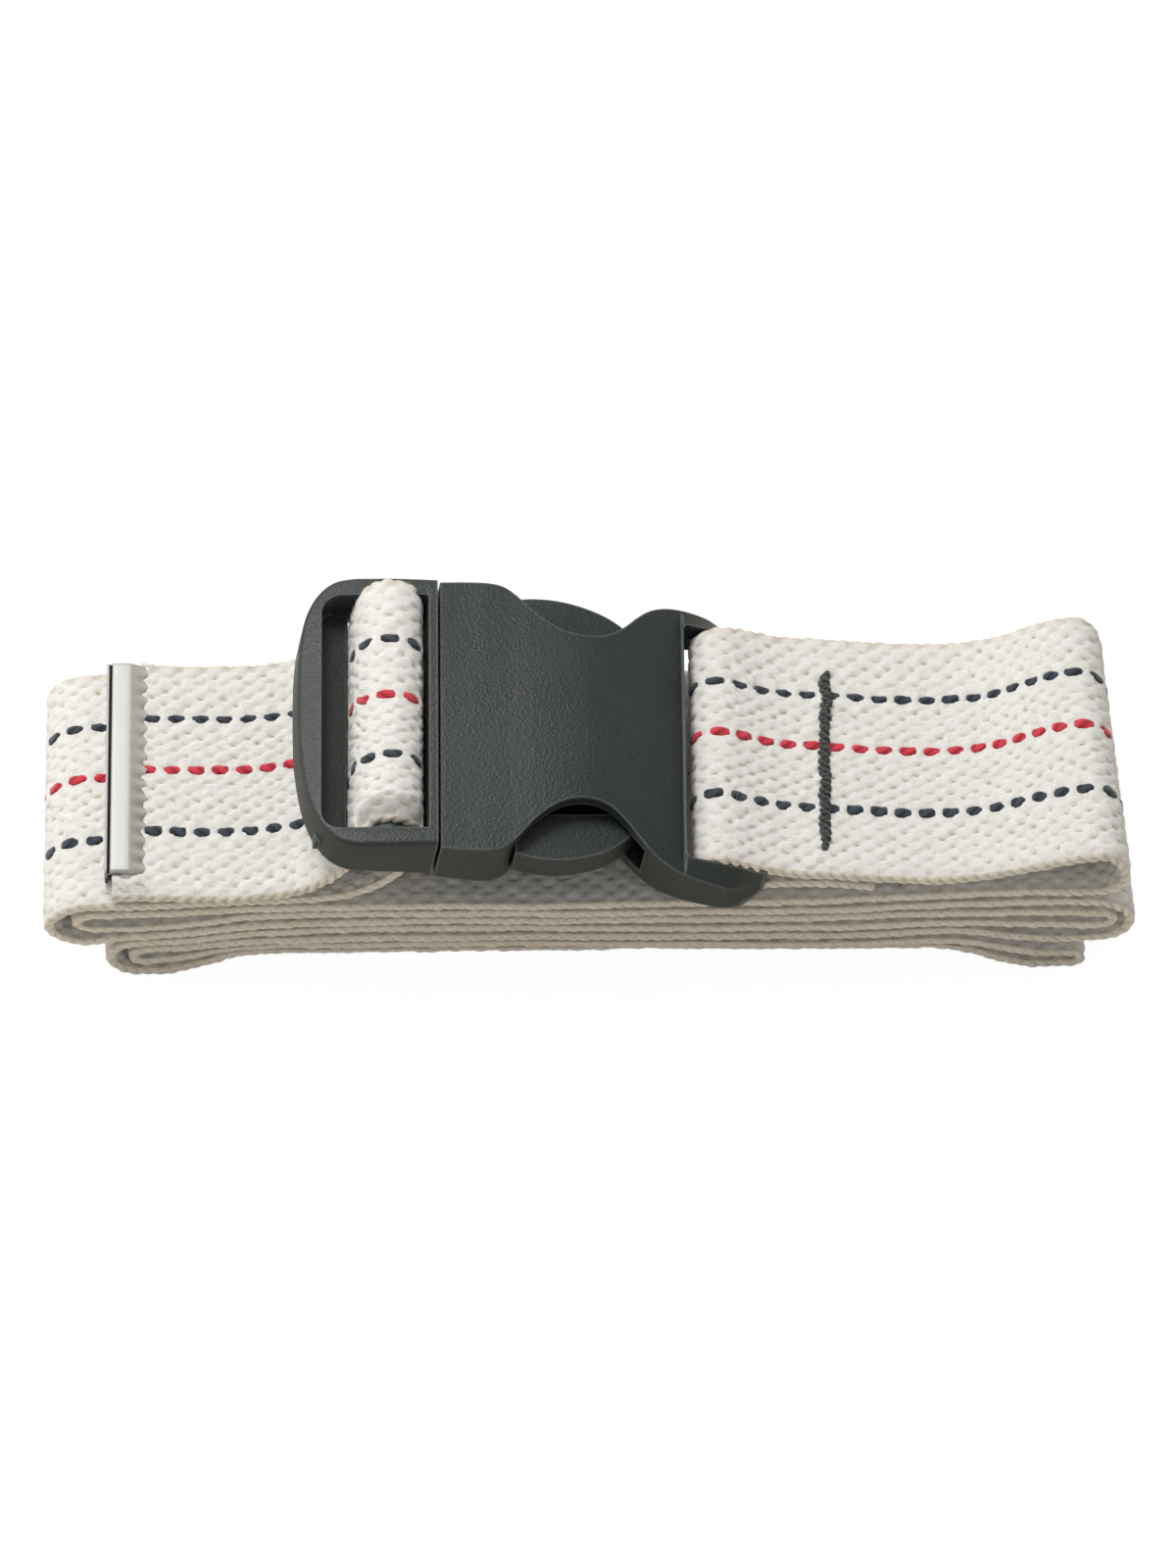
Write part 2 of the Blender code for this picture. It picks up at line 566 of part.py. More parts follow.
def build_male(frame):
    """Rounded frame with two slots, the adjuster bar between them, and the centre tongue."""
    outline = mirrored(spline(MALE_SIDE, MALE_SIDE_STEP))
    male = plate("male_frame", outline, 0.0, NOMINAL_H)
    round_rim(male, 0.0, NOMINAL_H, lambda mid: mid.x < -0.5, SHELL_ROUND)
    window = plate("male_window", mirrored(WINDOW), -2.0, 14.0, CUTTERS)
    combine(male, window)
    flatten(male)
    apply_crown(male, MALE_SIDE)
    additions = (
        side_strip("adjuster_bar", ADJUSTER_SECTION, -BAR_HALF_LENGTH, BAR_HALF_LENGTH, CUTTERS),
        # a sloping ledge inside the frame bar, under the webbing as it leaves the window
        side_strip("inner_ledge", LEDGE_SECTION, -LEDGE_HALF_LENGTH, LEDGE_HALF_LENGTH, CUTTERS),
        box("root_wall", (-1.85, 1.15), (-25.4, 25.4), (2.5, 8.0)),
        plate("centre_tongue", mirrored(TONGUE), TONGUE_W0, TONGUE_W1, CUTTERS),
    )
    for addition in additions:
        combine(male, addition, "UNION")
    flatten(male)
    for vert in male.data.vertices:
        if vert.co.x < 0:
            vert.co.z -= CAMBER * (vert.co.x / MM) ** 2 * MM
    finish_half(male, (window, *additions), frame)


def build_latch_arm(name, sign, frame):
    """A slim stem, then a head that fills the side opening. The origin is at the hinge."""
    # the head starts on the last point of the inner face
    points = LATCH_INNER + spline(LATCH_HEAD, LATCH_HEAD_STEP)[1:] + LATCH_STEM
    outline = [(u - LATCH_HINGE[0], sign * (v - LATCH_HINGE[1])) for u, v in points]
    arm = plate(name, outline, LATCH_W0, LATCH_W1)
    round_rim(arm, LATCH_W0, LATCH_W1, lambda mid: mid.x > 13.5 and sign * mid.y > 4.0,
              LATCH_ROUND)
    arm.location = (LATCH_HINGE[0] * MM, sign * LATCH_HINGE[1] * MM, 0)
    finish_half(arm, (), frame)


def build_buckle():
    frame = bpy.data.objects.new("buckle_frame", None)
    frame.location = [c * MM for c in BUCKLE_AT]
    frame.rotation_euler = (0, BUCKLE_PITCH, 0)
    PARTS.objects.link(frame)
    build_female(frame)
    build_male(frame)
    build_latch_arm("latch_arm_near", -1, frame)
    build_latch_arm("latch_arm_far", 1, frame)


belt_webbing = belt_piece("belt_webbing", "belt", belt_path(), side=1)
belt_piece("adjuster_loop", "loop", loop_path(), side=-1)
belt_piece("tail_webbing", "tail", tail_path(), side=-1)
build_tack(belt_webbing)
build_tip()
build_buckle()
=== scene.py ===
"""Gait belt: woven cotton webbing with dashed pattern yarns, moulded buckle and crimped metal tip.

The belt lies folded in a flat stack on the floor. Its length runs along x, its width along y and
z is up. The camera looks from -y and above, so near is -y, far is +y, left is -x, right is +x.
Each soft piece is a closed woven strip swept along a line in the side view, the xz plane.
The buckle is modelled in its own axes (along, across, up), then pitched about y and put in place.
Lengths are millimetres unless a comment says otherwise, and meshes are made in metres.
"""
import math

import bmesh
import bpy
import numpy as np
from mathutils import Matrix, Vector


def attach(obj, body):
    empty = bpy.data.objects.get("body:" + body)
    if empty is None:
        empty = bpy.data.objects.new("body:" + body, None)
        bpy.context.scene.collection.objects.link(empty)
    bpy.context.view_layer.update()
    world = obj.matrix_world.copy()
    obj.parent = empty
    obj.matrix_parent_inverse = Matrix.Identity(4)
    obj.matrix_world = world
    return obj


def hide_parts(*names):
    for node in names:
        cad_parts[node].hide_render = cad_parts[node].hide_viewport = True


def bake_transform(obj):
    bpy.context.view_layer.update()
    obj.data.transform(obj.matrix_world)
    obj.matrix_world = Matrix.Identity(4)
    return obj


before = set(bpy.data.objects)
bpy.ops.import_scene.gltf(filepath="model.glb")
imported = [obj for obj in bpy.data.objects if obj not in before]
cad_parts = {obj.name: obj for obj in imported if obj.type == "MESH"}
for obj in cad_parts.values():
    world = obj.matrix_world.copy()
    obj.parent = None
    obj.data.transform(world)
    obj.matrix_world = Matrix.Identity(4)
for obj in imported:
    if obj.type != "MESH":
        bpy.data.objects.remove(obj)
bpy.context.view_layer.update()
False  # nothing is simulated, so a quick build is the same as a full one
MM = 0.001

# ------------------------------------------------------------------ dimensions
HALF_THICK = 2.1 / 2     # of the webbing
HALF_WIDTH = 25.4
EDGE_ROW = 24.9          # y where the rounded selvedge begins
PERIOD = 4.38            # one float and one dip of a warp yarn
PICK = PERIOD / 2
PATTERN_YARNS = {        # y of its middle, half width of the yarn, half width of its row
    "navy_far": (14.2, 0.76, 0.88),
    "red": (2.9, 0.86, 0.92),
    "navy_near": (-10.8, 0.96, 0.95),
}

BUCKLE_AT = (-28.4, 0.0, 36.2)
PITCH = math.radians(9.0)
NOMINAL_H = 10.5         # shell height before it is crowned
PLATE_T = 1.9            # wall of the female shell above and below its cavity
SLOT_HALF = 25.75
THROAT_HALF, THROAT_END = 25.9, 13.4
END_BAR = (52.0, 3.2)    # centre of the bar the belt is sewn round: along, up
CAMBER = 0.003
CROWN = [                # along, height of the shell's top
    (-30.0, 7.2), (-13.0, 9.0), (0.0, 10.3), (12.0, 11.6), (26.0, 12.6),
    (36.0, 11.0), (45.0, 8.6), (54.0, 7.0), (62.0, 6.0),
]

TIP_X0, TIP_X1 = -87.2, -80.6
TIP_Y0, TIP_Y1 = -22.0, 24.4
TIP_MID = 25.75          # z
TIP_SHEET = 0.5
TACK_X, TACK_Y0, TACK_Y1 = 42.5, -20.3, 18.8

# The belt's layers in the order the webbing runs, from the bar back to the male half.
# Each is (points, turn): points are (x, z) along the middle of the webbing, and turn is
# (x of the fold after it, where the fold's tip lies between the layers, 0 low and 1 high).
LAYERS = [
    # top run
    ([(25.7, 34.2), (29.8, 32.2), (35.5, 30.4), (42.5, 29.65), (52.0, 28.5), (62.0, 27.85),
      (69.0, 28.3), (75.0, 29.5), (81.0, 31.6), (87.0, 33.7), (92.0, 34.8)], (96.6, 0.42)),
    # layer two
    ([(90.5, 23.5), (78.0, 23.6), (65.0, 23.1), (43.0, 21.35), (20.0, 21.1), (0.0, 20.9),
      (-20.0, 20.85), (-40.0, 20.7), (-60.0, 19.95), (-72.0, 19.6), (-83.0, 19.9),
      (-89.5, 19.6)], (-92.8, 0.5)),
    # layer three
    ([(-89.5, 14.2), (-83.0, 14.3), (-72.0, 15.6), (-60.0, 17.45), (-40.0, 18.2),
      (-20.0, 18.35), (0.0, 18.3), (20.0, 18.45), (43.0, 18.65), (65.0, 20.15), (80.0, 20.9),
      (90.0, 20.4)], (97.8, 0.55)),
    # layer six
    ([(91.0, 9.0), (84.0, 8.75), (76.0, 9.7), (65.0, 11.45), (43.0, 10.5), (20.0, 10.65),
      (0.0, 10.7), (-20.0, 10.95), (-40.0, 10.8), (-60.0, 10.05), (-72.0, 8.1),
      (-80.8, 7.1)], (-82.9, 0.5)),
    # layer seven
    ([(-80.8, 3.5), (-72.0, 4.9), (-60.0, 7.6), (-40.0, 8.35), (-20.0, 8.5), (0.0, 8.2),
      (20.0, 8.1), (43.0, 7.85), (65.0, 8.55), (76.0, 6.0), (82.0, 4.5),
      (87.2, 4.3)], (89.2, 0.5)),
    # layer eight
    ([(87.2, 1.05), (80.0, 1.05), (75.0, 2.6), (65.0, 5.5), (43.0, 5.25), (20.0, 5.6),
      (0.0, 5.8), (-20.0, 6.05), (-40.0, 5.9), (-60.0, 5.1), (-70.0, 2.5), (-77.0, 1.05),
      (-82.0, 1.05)], (-86.9, 0.5)),
    # layer five
    ([(-82.0, 9.5), (-72.0, 10.6), (-60.0, 12.5), (-40.0, 13.3), (-20.0, 13.4), (0.0, 13.2),
      (20.0, 13.2), (43.0, 13.2), (65.0, 14.3), (80.0, 14.0), (92.4, 13.7)], (94.7, 0.5)),
    # layer four
    ([(92.4, 17.3), (80.0, 17.5), (65.0, 17.25), (43.0, 15.95), (20.0, 15.85), (0.0, 15.75),
      (-20.0, 15.85), (-40.0, 15.75), (-60.0, 15.0), (-72.0, 13.1), (-83.0, 11.9),
      (-91.0, 10.3)], (-97.8, 0.45)),
    # layer one, the load strap up to the male half
    ([(-90.0, 22.2), (-83.0, 22.3), (-72.0, 22.2), (-60.0, 22.45), (-52.0, 22.9),
      (-45.0, 24.1), (-39.5, 26.6), (-35.2, 30.3), (-32.5, 34.4), (-31.65, 37.7)], None),
]
LAYER_STEP = 1.0
# sewn end lying under the top run, up to the bar: x, z
SEWN_END = [(51.2, 25.6), (47.0, 26.5), (42.5, 27.05), (36.0, 27.0), (29.5, 26.6)]
WRAP_X, WRAP_Z, WRAP_LEAD = 4.15, 3.55, 0.6  # radii of the turn round the bar, and its x offset

# turn over the adjuster bar, in buckle axes: along, up
LOOP_SECTION = [
    (-3.4, 1.6), (-3.4, 3.2), (-3.45, 5.4), (-3.9, 8.2), (-5.3, 10.3), (-7.8, 11.2),
    (-10.3, 10.7), (-12.6, 9.0), (-13.9, 6.4), (-14.25, 4.0), (-14.3, 1.5),
]
# loose tail from the adjuster towards the metal tip: x, z
TAIL = [
    (-42.6, 36.9), (-44.3, 32.6), (-47.9, 28.8), (-52.2, 26.4), (-56.6, 25.53),
    (-63.0, 25.1), (-72.0, 25.15), (-79.0, 25.6),
]


# ------------------------------------------------------------------ side view of the belt
def spline(points, step):
    """A Catmull-Rom curve through the points, cut into parts of about the given step."""
    out = []
    last = len(points) - 1
    for i in range(last):
        before, start = points[max(i - 1, 0)], points[i]
        end, after = points[i + 1], points[min(i + 2, last)]
        parts = max(1, int(round(math.dist(start, end) / step)))
        for k in range(parts):
            t = k / parts
            out.append(tuple(
                0.5 * (2 * b + (c - a) * t + (2 * a - 5 * b + 4 * c - d) * t * t
                       + (3 * b - a - 3 * c + d) * t ** 3)
                for a, b, c, d in zip(before, start, end, after)))
    out.append(tuple(points[-1]))
    return out


def fold(start, end, tip_x, rise, steps=14):
    """Two quarter ellipses from start to end, meeting at tip_x."""
    tip_z = min(start[1], end[1]) + abs(end[1] - start[1]) * rise
    out = []
    for k in range(1, steps + 1):
        angle = math.pi / 2 * k / steps
        out.append((start[0] + (tip_x - start[0]) * math.sin(angle),
                    start[1] + (tip_z - start[1]) * (1 - math.cos(angle))))
    for k in range(1, steps):
        angle = math.pi / 2 * k / steps
        out.append((end[0] + (tip_x - end[0]) * math.cos(angle),
                    tip_z + (end[1] - tip_z) * math.sin(angle)))
    return out


def join(*lines):
    """One line from several, without repeated points."""
    out = []
    for line in lines:
        for point in line:
            if not out or math.dist(out[-1], point) > 0.05:
                out.append(point)
    return out


def to_world(along, up):
    cos, sin = math.cos(PITCH), math.sin(PITCH)
    return (BUCKLE_AT[0] + along * cos + up * sin, BUCKLE_AT[2] - along * sin + up * cos)


def to_buckle(x, z):
    cos, sin = math.cos(PITCH), math.sin(PITCH)
    x, z = x - BUCKLE_AT[0], z - BUCKLE_AT[2]
    return x * cos - z * sin, x * sin + z * cos


def lengths(points):
    """Distance along the line at each point."""
    return np.r_[0, np.cumsum(np.linalg.norm(np.diff(points, axis=0), axis=1))]


def resampled(points, count):
    at = lengths(points)
    run = np.linspace(0, at[-1], count)
    return np.c_[np.interp(run, at, points[:, 0]), np.interp(run, at, points[:, 1])], run


def even(line, step, smooth=0.6, grain=0.1):
    """The line at even arc length and gently smoothed, its ends kept, and the run at each point."""
    line = np.array(line, float)
    dense, _ = resampled(line, max(2, int(round(lengths(line)[-1] / grain))))
    reach = int(3 * smooth / grain)
    kernel = np.exp(-0.5 * (np.arange(-reach, reach + 1) * grain / smooth) ** 2)
    kernel /= kernel.sum()
    padded = np.r_[2 * dense[0] - dense[1:reach + 1][::-1], dense,
                   2 * dense[-1] - dense[-reach - 1:-1][::-1]]
    dense = np.c_[np.convolve(padded[:, 0], kernel, "valid"),
                  np.convolve(padded[:, 1], kernel, "valid")]
    return resampled(dense, max(2, int(round(lengths(dense)[-1] / step))) + 1)


def nearest(path, x, z):
    return int(np.argmin((path[:, 0] - x) ** 2 + (path[:, 1] - z) ** 2))


def belt_line():
    """The belt from its sewn end, round the bar, through every layer and fold."""
    wrap = [(BAR_X + WRAP_X * math.cos(math.pi / 2 + math.pi * k / 24),
             BAR_Z - WRAP_Z * math.sin(math.pi / 2 + math.pi * k / 24)) for k in range(1, 24)]
    lines = [spline(SEWN_END + [(BAR_X + WRAP_LEAD, BAR_Z - WRAP_Z)], LAYER_STEP),
             wrap, [(BAR_X + WRAP_LEAD, BAR_Z + WRAP_Z)]]
    for (points, turn), (following, _) in zip(LAYERS, LAYERS[1:]):
        lines += [spline(points, LAYER_STEP), fold(points[-1], following[0], *turn)]
    return join(*lines, spline(LAYERS[-1][0], LAYER_STEP))


def loop_line():
    """The free webbing from the adjuster bar down to the metal tip."""
    over_bar = [to_world(along, up) for along, up in spline(LOOP_SECTION, 0.5)]
    in_tip = (TIP_X0 + TIP_SHEET + 0.6, TIP_MID)
    return join(over_bar, spline([to_world(*LOOP_SECTION[-1]), *TAIL, in_tip], 0.6))


BAR_X, BAR_Z = to_world(*END_BAR)
RING_STEP = PERIOD / 12
BELT_PATH, BELT_RUN = even(belt_line(), RING_STEP)
LOOP_PATH, LOOP_RUN = even(loop_line(), RING_STEP, smooth=0.4)


# ------------------------------------------------------------------ rows of the weave
ROWS = []  # low edge, high edge, pattern yarn or None


def add_rows(low, high, count):
    for k in range(count):
        ROWS.append((low + (high - low) * k / count, low + (high - low) * (k + 1) / count, None))


row_start = -EDGE_ROW
for yarn_name, plain_rows in (("navy_near", 9), ("red", 9), ("navy_far", 7)):
    yarn_y, _, row_half = PATTERN_YARNS[yarn_name]
    add_rows(row_start, yarn_y - row_half, plain_rows)
    ROWS.append((yarn_y - row_half, yarn_y + row_half, yarn_name))
    row_start = yarn_y + row_half
add_rows(row_start, EDGE_ROW, 7)

ROW_Y = np.array([(low + high) / 2 for low, high, _ in ROWS])
ROW_HALF = np.array([(high - low) / 2 for low, high, _ in ROWS])
ROW_EDGES = np.array([ROWS[0][0]] + [high for _, high, _ in ROWS])
ROW_JITTER = np.random.default_rng(20).uniform(-0.085, 0.085, len(ROWS))
IS_STRIPE = np.array([row[2] is not None for row in ROWS])
PARITY = int(np.argmax(IS_STRIPE)) % 2


def stripe_reach(step):
    """How far a row beside a pattern yarn reaches to that yarn's middle, in its half widths.

    With this reach the cloth closes between the yarn's dashes. It is 0 for all other rows.
    """
    reach = np.zeros(len(ROWS))
    for row in range(len(ROWS)):
        beside = row + step
        if 0 <= beside < len(ROWS) and IS_STRIPE[beside]:
            reach[row] = abs(ROW_Y[beside] - ROW_Y[row]) / ROW_HALF[row] * 1.02
    return reach


REACH_UP, REACH_DOWN = stripe_reach(1), stripe_reach(-1)


# ------------------------------------------------------------------ the weave
def chance(first, second, salt=0.0):
    """A repeatable number from 0 to 1 for each float."""
    value = np.sin(first * 12.9898 + second * 78.233 + salt * 37.719) * 43758.5453
    return value - np.floor(value)


def ease(value, start, width):
    """Smoothly from 0 at start to 1 at start + width; a negative width faces the other way."""
    t = np.clip((value - start) / width, 0, 1)
    return t * t * (3 - 2 * t)


def wander(run, salt, reach=9.0):
    return (np.sin(run / reach + salt * 1.7) + 0.6 * np.sin(run / (reach * 0.43) + salt * 3.1)
            + 0.35 * np.sin(run / (reach * 0.19) + salt * 5.3)) / 1.95


def lateral(run):
    """Sideways drift: the folded layers don't lie exactly edge to edge."""
    return 0.32 * wander(run, 2.0, 31.0)


def float_phase(run, row, y, flip=0.0):
    """Floats counted along the row; picks bow slightly across the width."""
    bow = np.interp(y, [-25.4, -10.8, 2.9, 14.2, 25.4], [0.02, 0.10, -0.12, 0.0, 0.10])
    return run / PERIOD + 0.5 * ((row + PARITY) % 2) + bow + flip + ROW_JITTER[row]


def weave(run, y, face):
    """Height above the strip's nominal face, and 0..1 for how far up a float the point is, lowered
    at the float's sides and in creases; the cotton paints shade where it is low.
    """
    valley = -0.50
    best = np.full(run.shape, valley)
    second = np.full(run.shape, valley)
    up_best = np.zeros(run.shape)
    own_row = np.clip(np.searchsorted(ROW_EDGES, y) - 1, 0, len(ROWS) - 1)
    for shift in (-1, 0, 1):
        row = np.clip(own_row + shift, 0, len(ROWS) - 1)
        stripe, reach_up, reach_down = IS_STRIPE[row], REACH_UP[row], REACH_DOWN[row]
        phase = float_phase(run, row, y, 0.5 if face < 0 else 0.0)
        count = np.round(phase)
        along = phase - count
        off = np.abs(along)
        # each float gets its own place, size and length
        place, size, extent = (chance(row, count, salt) - 0.5 for salt in (0.0, 1.0, 2.0))
        up = ease(off, 0.465 + 0.07 * extent, -0.22)
        beside = (reach_up > 0) | (reach_down > 0)
        up = np.where(stripe, ease(off, 0.33, 0.11),
                      np.where(beside, np.maximum(up, 0.58), up))
        middle = ROW_Y[row] + place * 0.30 + 0.14 * wander(run, 3.0 * row)
        full = 1.76 + 0.30 * size
        full = np.where((y > middle) & (reach_up > 0), reach_up,
                        np.where((y < middle) & (reach_down > 0), reach_down, full))
        width = ROW_HALF[row] * np.where(stripe, 0.86 + 0.44 * up, 0.84 + (full - 0.84) * up)
        side = (y - middle) / width
        out = np.clip(np.abs(side), 0, 1)
        crest = np.where(stripe, -0.30, -0.40) + (0.44 + 0.20 * size) * up
        arch = crest - 0.52 * (1 - np.sqrt(1 - out ** 2 * 0.99))
        arch = np.where(out >= 1, valley, arch)
        # the float rises to its middle, its ends dive under the crossing pick, and each leans
        lean = 0.20 * place * along / 0.5 + 0.16 * extent * side
        ply = -0.060 * np.exp(-((side - 0.9 * along - 0.3 * size) / 0.16) ** 2)
        swell = 0.05 * np.cos(np.pi * np.clip(off / 0.5, 0, 1)) + up * (lean + ply)
        arch = arch + np.where(stripe | (out >= 1), 0.0, swell)
        better = arch > best
        second = np.where(better, best, np.maximum(second, arch))
        best = np.where(better, arch, best)
        up_best = np.where(better, np.clip(up * (1 - 0.40 * out ** 3), 0, 1), up_best)
    # a thin crease where two yarns press against each other
    crease = np.exp(-((best - second) / 0.05) ** 2) * ease(best, -0.46, 0.10)
    best = best - 0.07 * crease
    # the lowered up_best paints shade into the crease
    up_best = up_best * (1 - 0.50 * crease)
    # unevenness breaks up the regular lattice
    best = best + 0.030 * (np.sin(run * 2.7 + 2.0 * np.sin(y * 1.9 + 0.31 * run))
                           + np.sin(y * 3.7 + 2.2 * np.sin(run * 1.35 + 0.5 * y)))
    return best, up_best


def edge_heavy(zone, edge_count, middle_count):
    """Columns packed into a zone along each selvedge and sparse between."""
    return np.unique(np.r_[np.linspace(-EDGE_ROW, -EDGE_ROW + zone, edge_count),
                           np.linspace(-EDGE_ROW + zone, EDGE_ROW - zone, middle_count),
                           np.linspace(EDGE_ROW - zone, EDGE_ROW, edge_count)])


ROW_SAMPLES = np.array([0, 0.13, 0.32, 0.5, 0.68, 0.87])
COLUMNS = {  # y of the mesh columns across a face
    "fine": np.unique(np.concatenate(
        [low + (high - low) * ROW_SAMPLES for low, high, _ in ROWS] + [[EDGE_ROW]])),
    "medium": edge_heavy(8, 22, 9),
    "edged": edge_heavy(3.4, 10, 7),
}
EDGE_ANGLES = np.radians([22, 45, 68, 90, 112, 135, 158])  # round the selvedge


def settle(points):
    """The soft way the folded belt lies, as shifts of its ideal place.

    The right hump leans back on the far side and the left end drifts nearer.
    """
    x, y, z = points[..., 0], points[..., 1], points[..., 2]
    far = np.clip((y + HALF_WIDTH) / (2 * HALF_WIDTH), 0, 1)
    right = ease(x, 68, 24)
    hump = right * ease(z, 24.8, 6)
    # over the adjuster bar the webbing spreads past the far rail
    along, up = to_buckle(x, z)
    crest = ease(up, 6.2, 3.6) * ease(along, -19, 2) * ease(along, -1.5, -1.5)
    crest_drop = crest * ease(np.abs(y), 20.5, 5.0) * np.where(y > 0, 0.4, 3.3)
    crest_spread = crest * (1.9 - 3.2 * np.clip(1 - (y / HALF_WIDTH) ** 2, 0, 1))
    left = ease(x, -60, -25) * ease(z, 12, 8)
    tail = ease(x, -45, -20) * ease(z, 24.2, 1.0)
    # the far margin spreads, except in the part round the buckle
    clear = 1 - ease(x, -52, 4) * ease(x, 24, -4) * ease(z, 27.5, 1.5)
    top = ease(x, 24, 6) * ease(x, 86, -20) * ease(z, 26.0, 1.5)
    margin = ease(y, 14.5, 10.5) * (0.8 * clear + 0.8 * top)
    low_middle = ease(z, 8.5, -4) * ease(np.abs(x), 78, -18)
    out = points.copy()
    out[..., 0] = x - 4.2 * right * far
    out[..., 2] = z + 2.2 * hump * (far - 0.15) - crest_drop
    out[..., 1] = (y - 0.9 * left * (1 - tail) - 1.15 * tail + crest_spread + margin
                   + 1.3 * low_middle)
    return out


# ------------------------------------------------------------------ swept meshes
def directions(path, side):
    """Unit tangents and normals; side +1 has the good face on the left of the path."""
    tangent = np.gradient(path, axis=0)
    tangent /= np.linalg.norm(tangent, axis=1)[:, None]
    return tangent, np.c_[-tangent[:, 1], tangent[:, 0]] * side


def rings(path, run, side, stride):
    """Path, run and normals at every stride-th point and at the last."""
    _, normal = directions(path, side)
    keep = np.arange(0, len(run), stride)
    if keep[-1] != len(run) - 1:
        keep = np.r_[keep, len(run) - 1]
    return path[keep], run[keep], normal[keep]


def swept(path, normal, height, y):
    """Settled points (rings x loop) at the given heights along the normals."""
    x = path[:, 0:1] + normal[:, 0:1] * height
    z = path[:, 1:2] + normal[:, 1:2] * height
    return settle(np.stack([x, y, z], 2))


def add_numbers(mesh, numbers):
    for key, values in numbers.items():
        attribute = mesh.attributes.new(key, "FLOAT", "POINT")
        attribute.data.foreach_set("value", values.reshape(-1).astype(np.float32))


def face_out(mesh):
    """Turn the faces outward if the closed mesh is inside out."""
    mesh.calc_loop_triangles()
    corners = np.zeros(len(mesh.loop_triangles) * 3, np.int32)
    mesh.loop_triangles.foreach_get("vertices", corners)
    points = np.zeros(len(mesh.vertices) * 3, np.float32)
    mesh.vertices.foreach_get("co", points)
    first, second, third = points.reshape(-1, 3).astype(float)[corners.reshape(-1, 3).T]
    if np.einsum("ij,ij->", first, np.cross(second, third)) < 0:
        mesh.flip_normals()


def linked_object(name, mesh):
    obj = bpy.data.objects.new(name, mesh)
    bpy.context.scene.collection.objects.link(obj)
    return obj


def tube_mesh(name, points, material, numbers):
    """A closed mesh from rings x loop points, its two ends capped; numbers: name -> rings x loop."""
    count, loop = points.shape[:2]
    index = np.arange(count * loop).reshape(count, loop)
    turned = np.roll(index, -1, 1)
    quads = np.stack([index[:-1], turned[:-1], turned[1:], index[1:]], 2).reshape(-1, 4)
    corners = np.concatenate([quads.ravel(), index[0][::-1], index[-1]]).astype(np.int32)
    quad_end = len(quads) * 4
    starts = np.r_[np.arange(len(quads)) * 4, quad_end, quad_end + loop].astype(np.int32)
    mesh = bpy.data.meshes.new(name)
    mesh.vertices.add(count * loop)
    mesh.vertices.foreach_set("co", (points.reshape(-1, 3) * MM).astype(np.float32).ravel())
    mesh.loops.add(len(corners))
    mesh.loops.foreach_set("vertex_index", corners)
    mesh.polygons.add(len(starts))
    mesh.polygons.foreach_set("loop_start", starts)
    mesh.update(calc_edges=True)
    mesh.validate()
    add_numbers(mesh, numbers)
    mesh.polygons.foreach_set("use_smooth", np.ones(len(mesh.polygons), bool))
    # sharp edges round the end caps keep them looking flat
    ends = np.zeros(len(mesh.edges) * 2, np.int32)
    mesh.edges.foreach_get("vertices", ends)
    ring = ends.reshape(-1, 2) // loop
    sharp = np.all(ring == 0, axis=1) | np.all(ring == count - 1, axis=1)
    attribute = (mesh.attributes.get("sharp_edge")
                 or mesh.attributes.new("sharp_edge", "BOOLEAN", "EDGE"))
    attribute.data.foreach_set("value", sharp)
    mesh.materials.append(material)
    obj = linked_object(name, mesh)
    face_out(mesh)
    return obj


# ------------------------------------------------------------------ shader helpers
def feed(socket, value):
    """Link the value if it is an output, otherwise set it; a colour gets its alpha."""
    if isinstance(value, bpy.types.NodeSocket):
        socket.id_data.links.new(value, socket)
    elif socket.type == "RGBA":
        socket.default_value = (*value, 1.0)
    else:
        socket.default_value = value


def adjust(item, **settings):
    """Set up a node: lower-case names are its properties, capitalised ones its inputs."""
    for key, value in settings.items():
        if key[0].islower():
            setattr(item, key, value)
        else:
            feed(item.inputs[key.replace("_", " ")], value)


def node(tree, kind, *values, **settings):
    """A new node; the plain values go to its inputs in order."""
    item = tree.nodes.new("ShaderNode" + kind)
    adjust(item, **settings)
    for socket, value in zip(item.inputs, values):
        feed(socket, value)
    return item


def new_material(name):
    material = bpy.data.materials.new(name)
    material.use_nodes = True
    return material, material.node_tree, material.node_tree.nodes["Principled BSDF"]


def attribute_value(tree, name):
    return node(tree, "Attribute", attribute_name=name).outputs["Fac"]


def noise(tree, vector, **settings):
    return node(tree, "TexNoise", Vector=vector, **settings).outputs["Fac"]


def bump(tree, height, **settings):
    return node(tree, "Bump", Height=height, **settings).outputs["Normal"]


def ramp(tree, source, stops):
    """Stops are (position, colour), with one number for a grey."""
    item = node(tree, "ValToRGB", source)
    elements = item.color_ramp.elements
    while len(elements) < len(stops):
        elements.new(0.5)
    for element, (position, colour) in zip(elements, stops):
        element.position = position
        element.color = (*(colour if isinstance(colour, tuple) else (colour,) * 3), 1.0)
    return item.outputs["Color"]


def mix(tree, factor, first, second, blend="MIX"):
    item = node(tree, "Mix", data_type="RGBA", blend_type=blend)
    for slot, value in ((0, factor), (6, first), (7, second)):
        feed(item.inputs[slot], value)
    return item.outputs[2]


def cloth_coords(tree, along=1.0, across=1.0, slant=0.0):
    """(run, across, 0) in millimetres along the cloth, so that the pattern stays on the yarns.

    The two factors scale the axes, and slant leans the pattern.
    """
    run = attribute_value(tree, "run")
    side = attribute_value(tree, "across")
    x = node(tree, "Math", run, along, operation="MULTIPLY").outputs[0]
    y = node(tree, "Math", side, across, operation="MULTIPLY").outputs[0]
    leaned = node(tree, "Math", run, slant, y, operation="MULTIPLY_ADD").outputs[0]
    return node(tree, "CombineXYZ", X=x, Y=leaned).outputs[0]


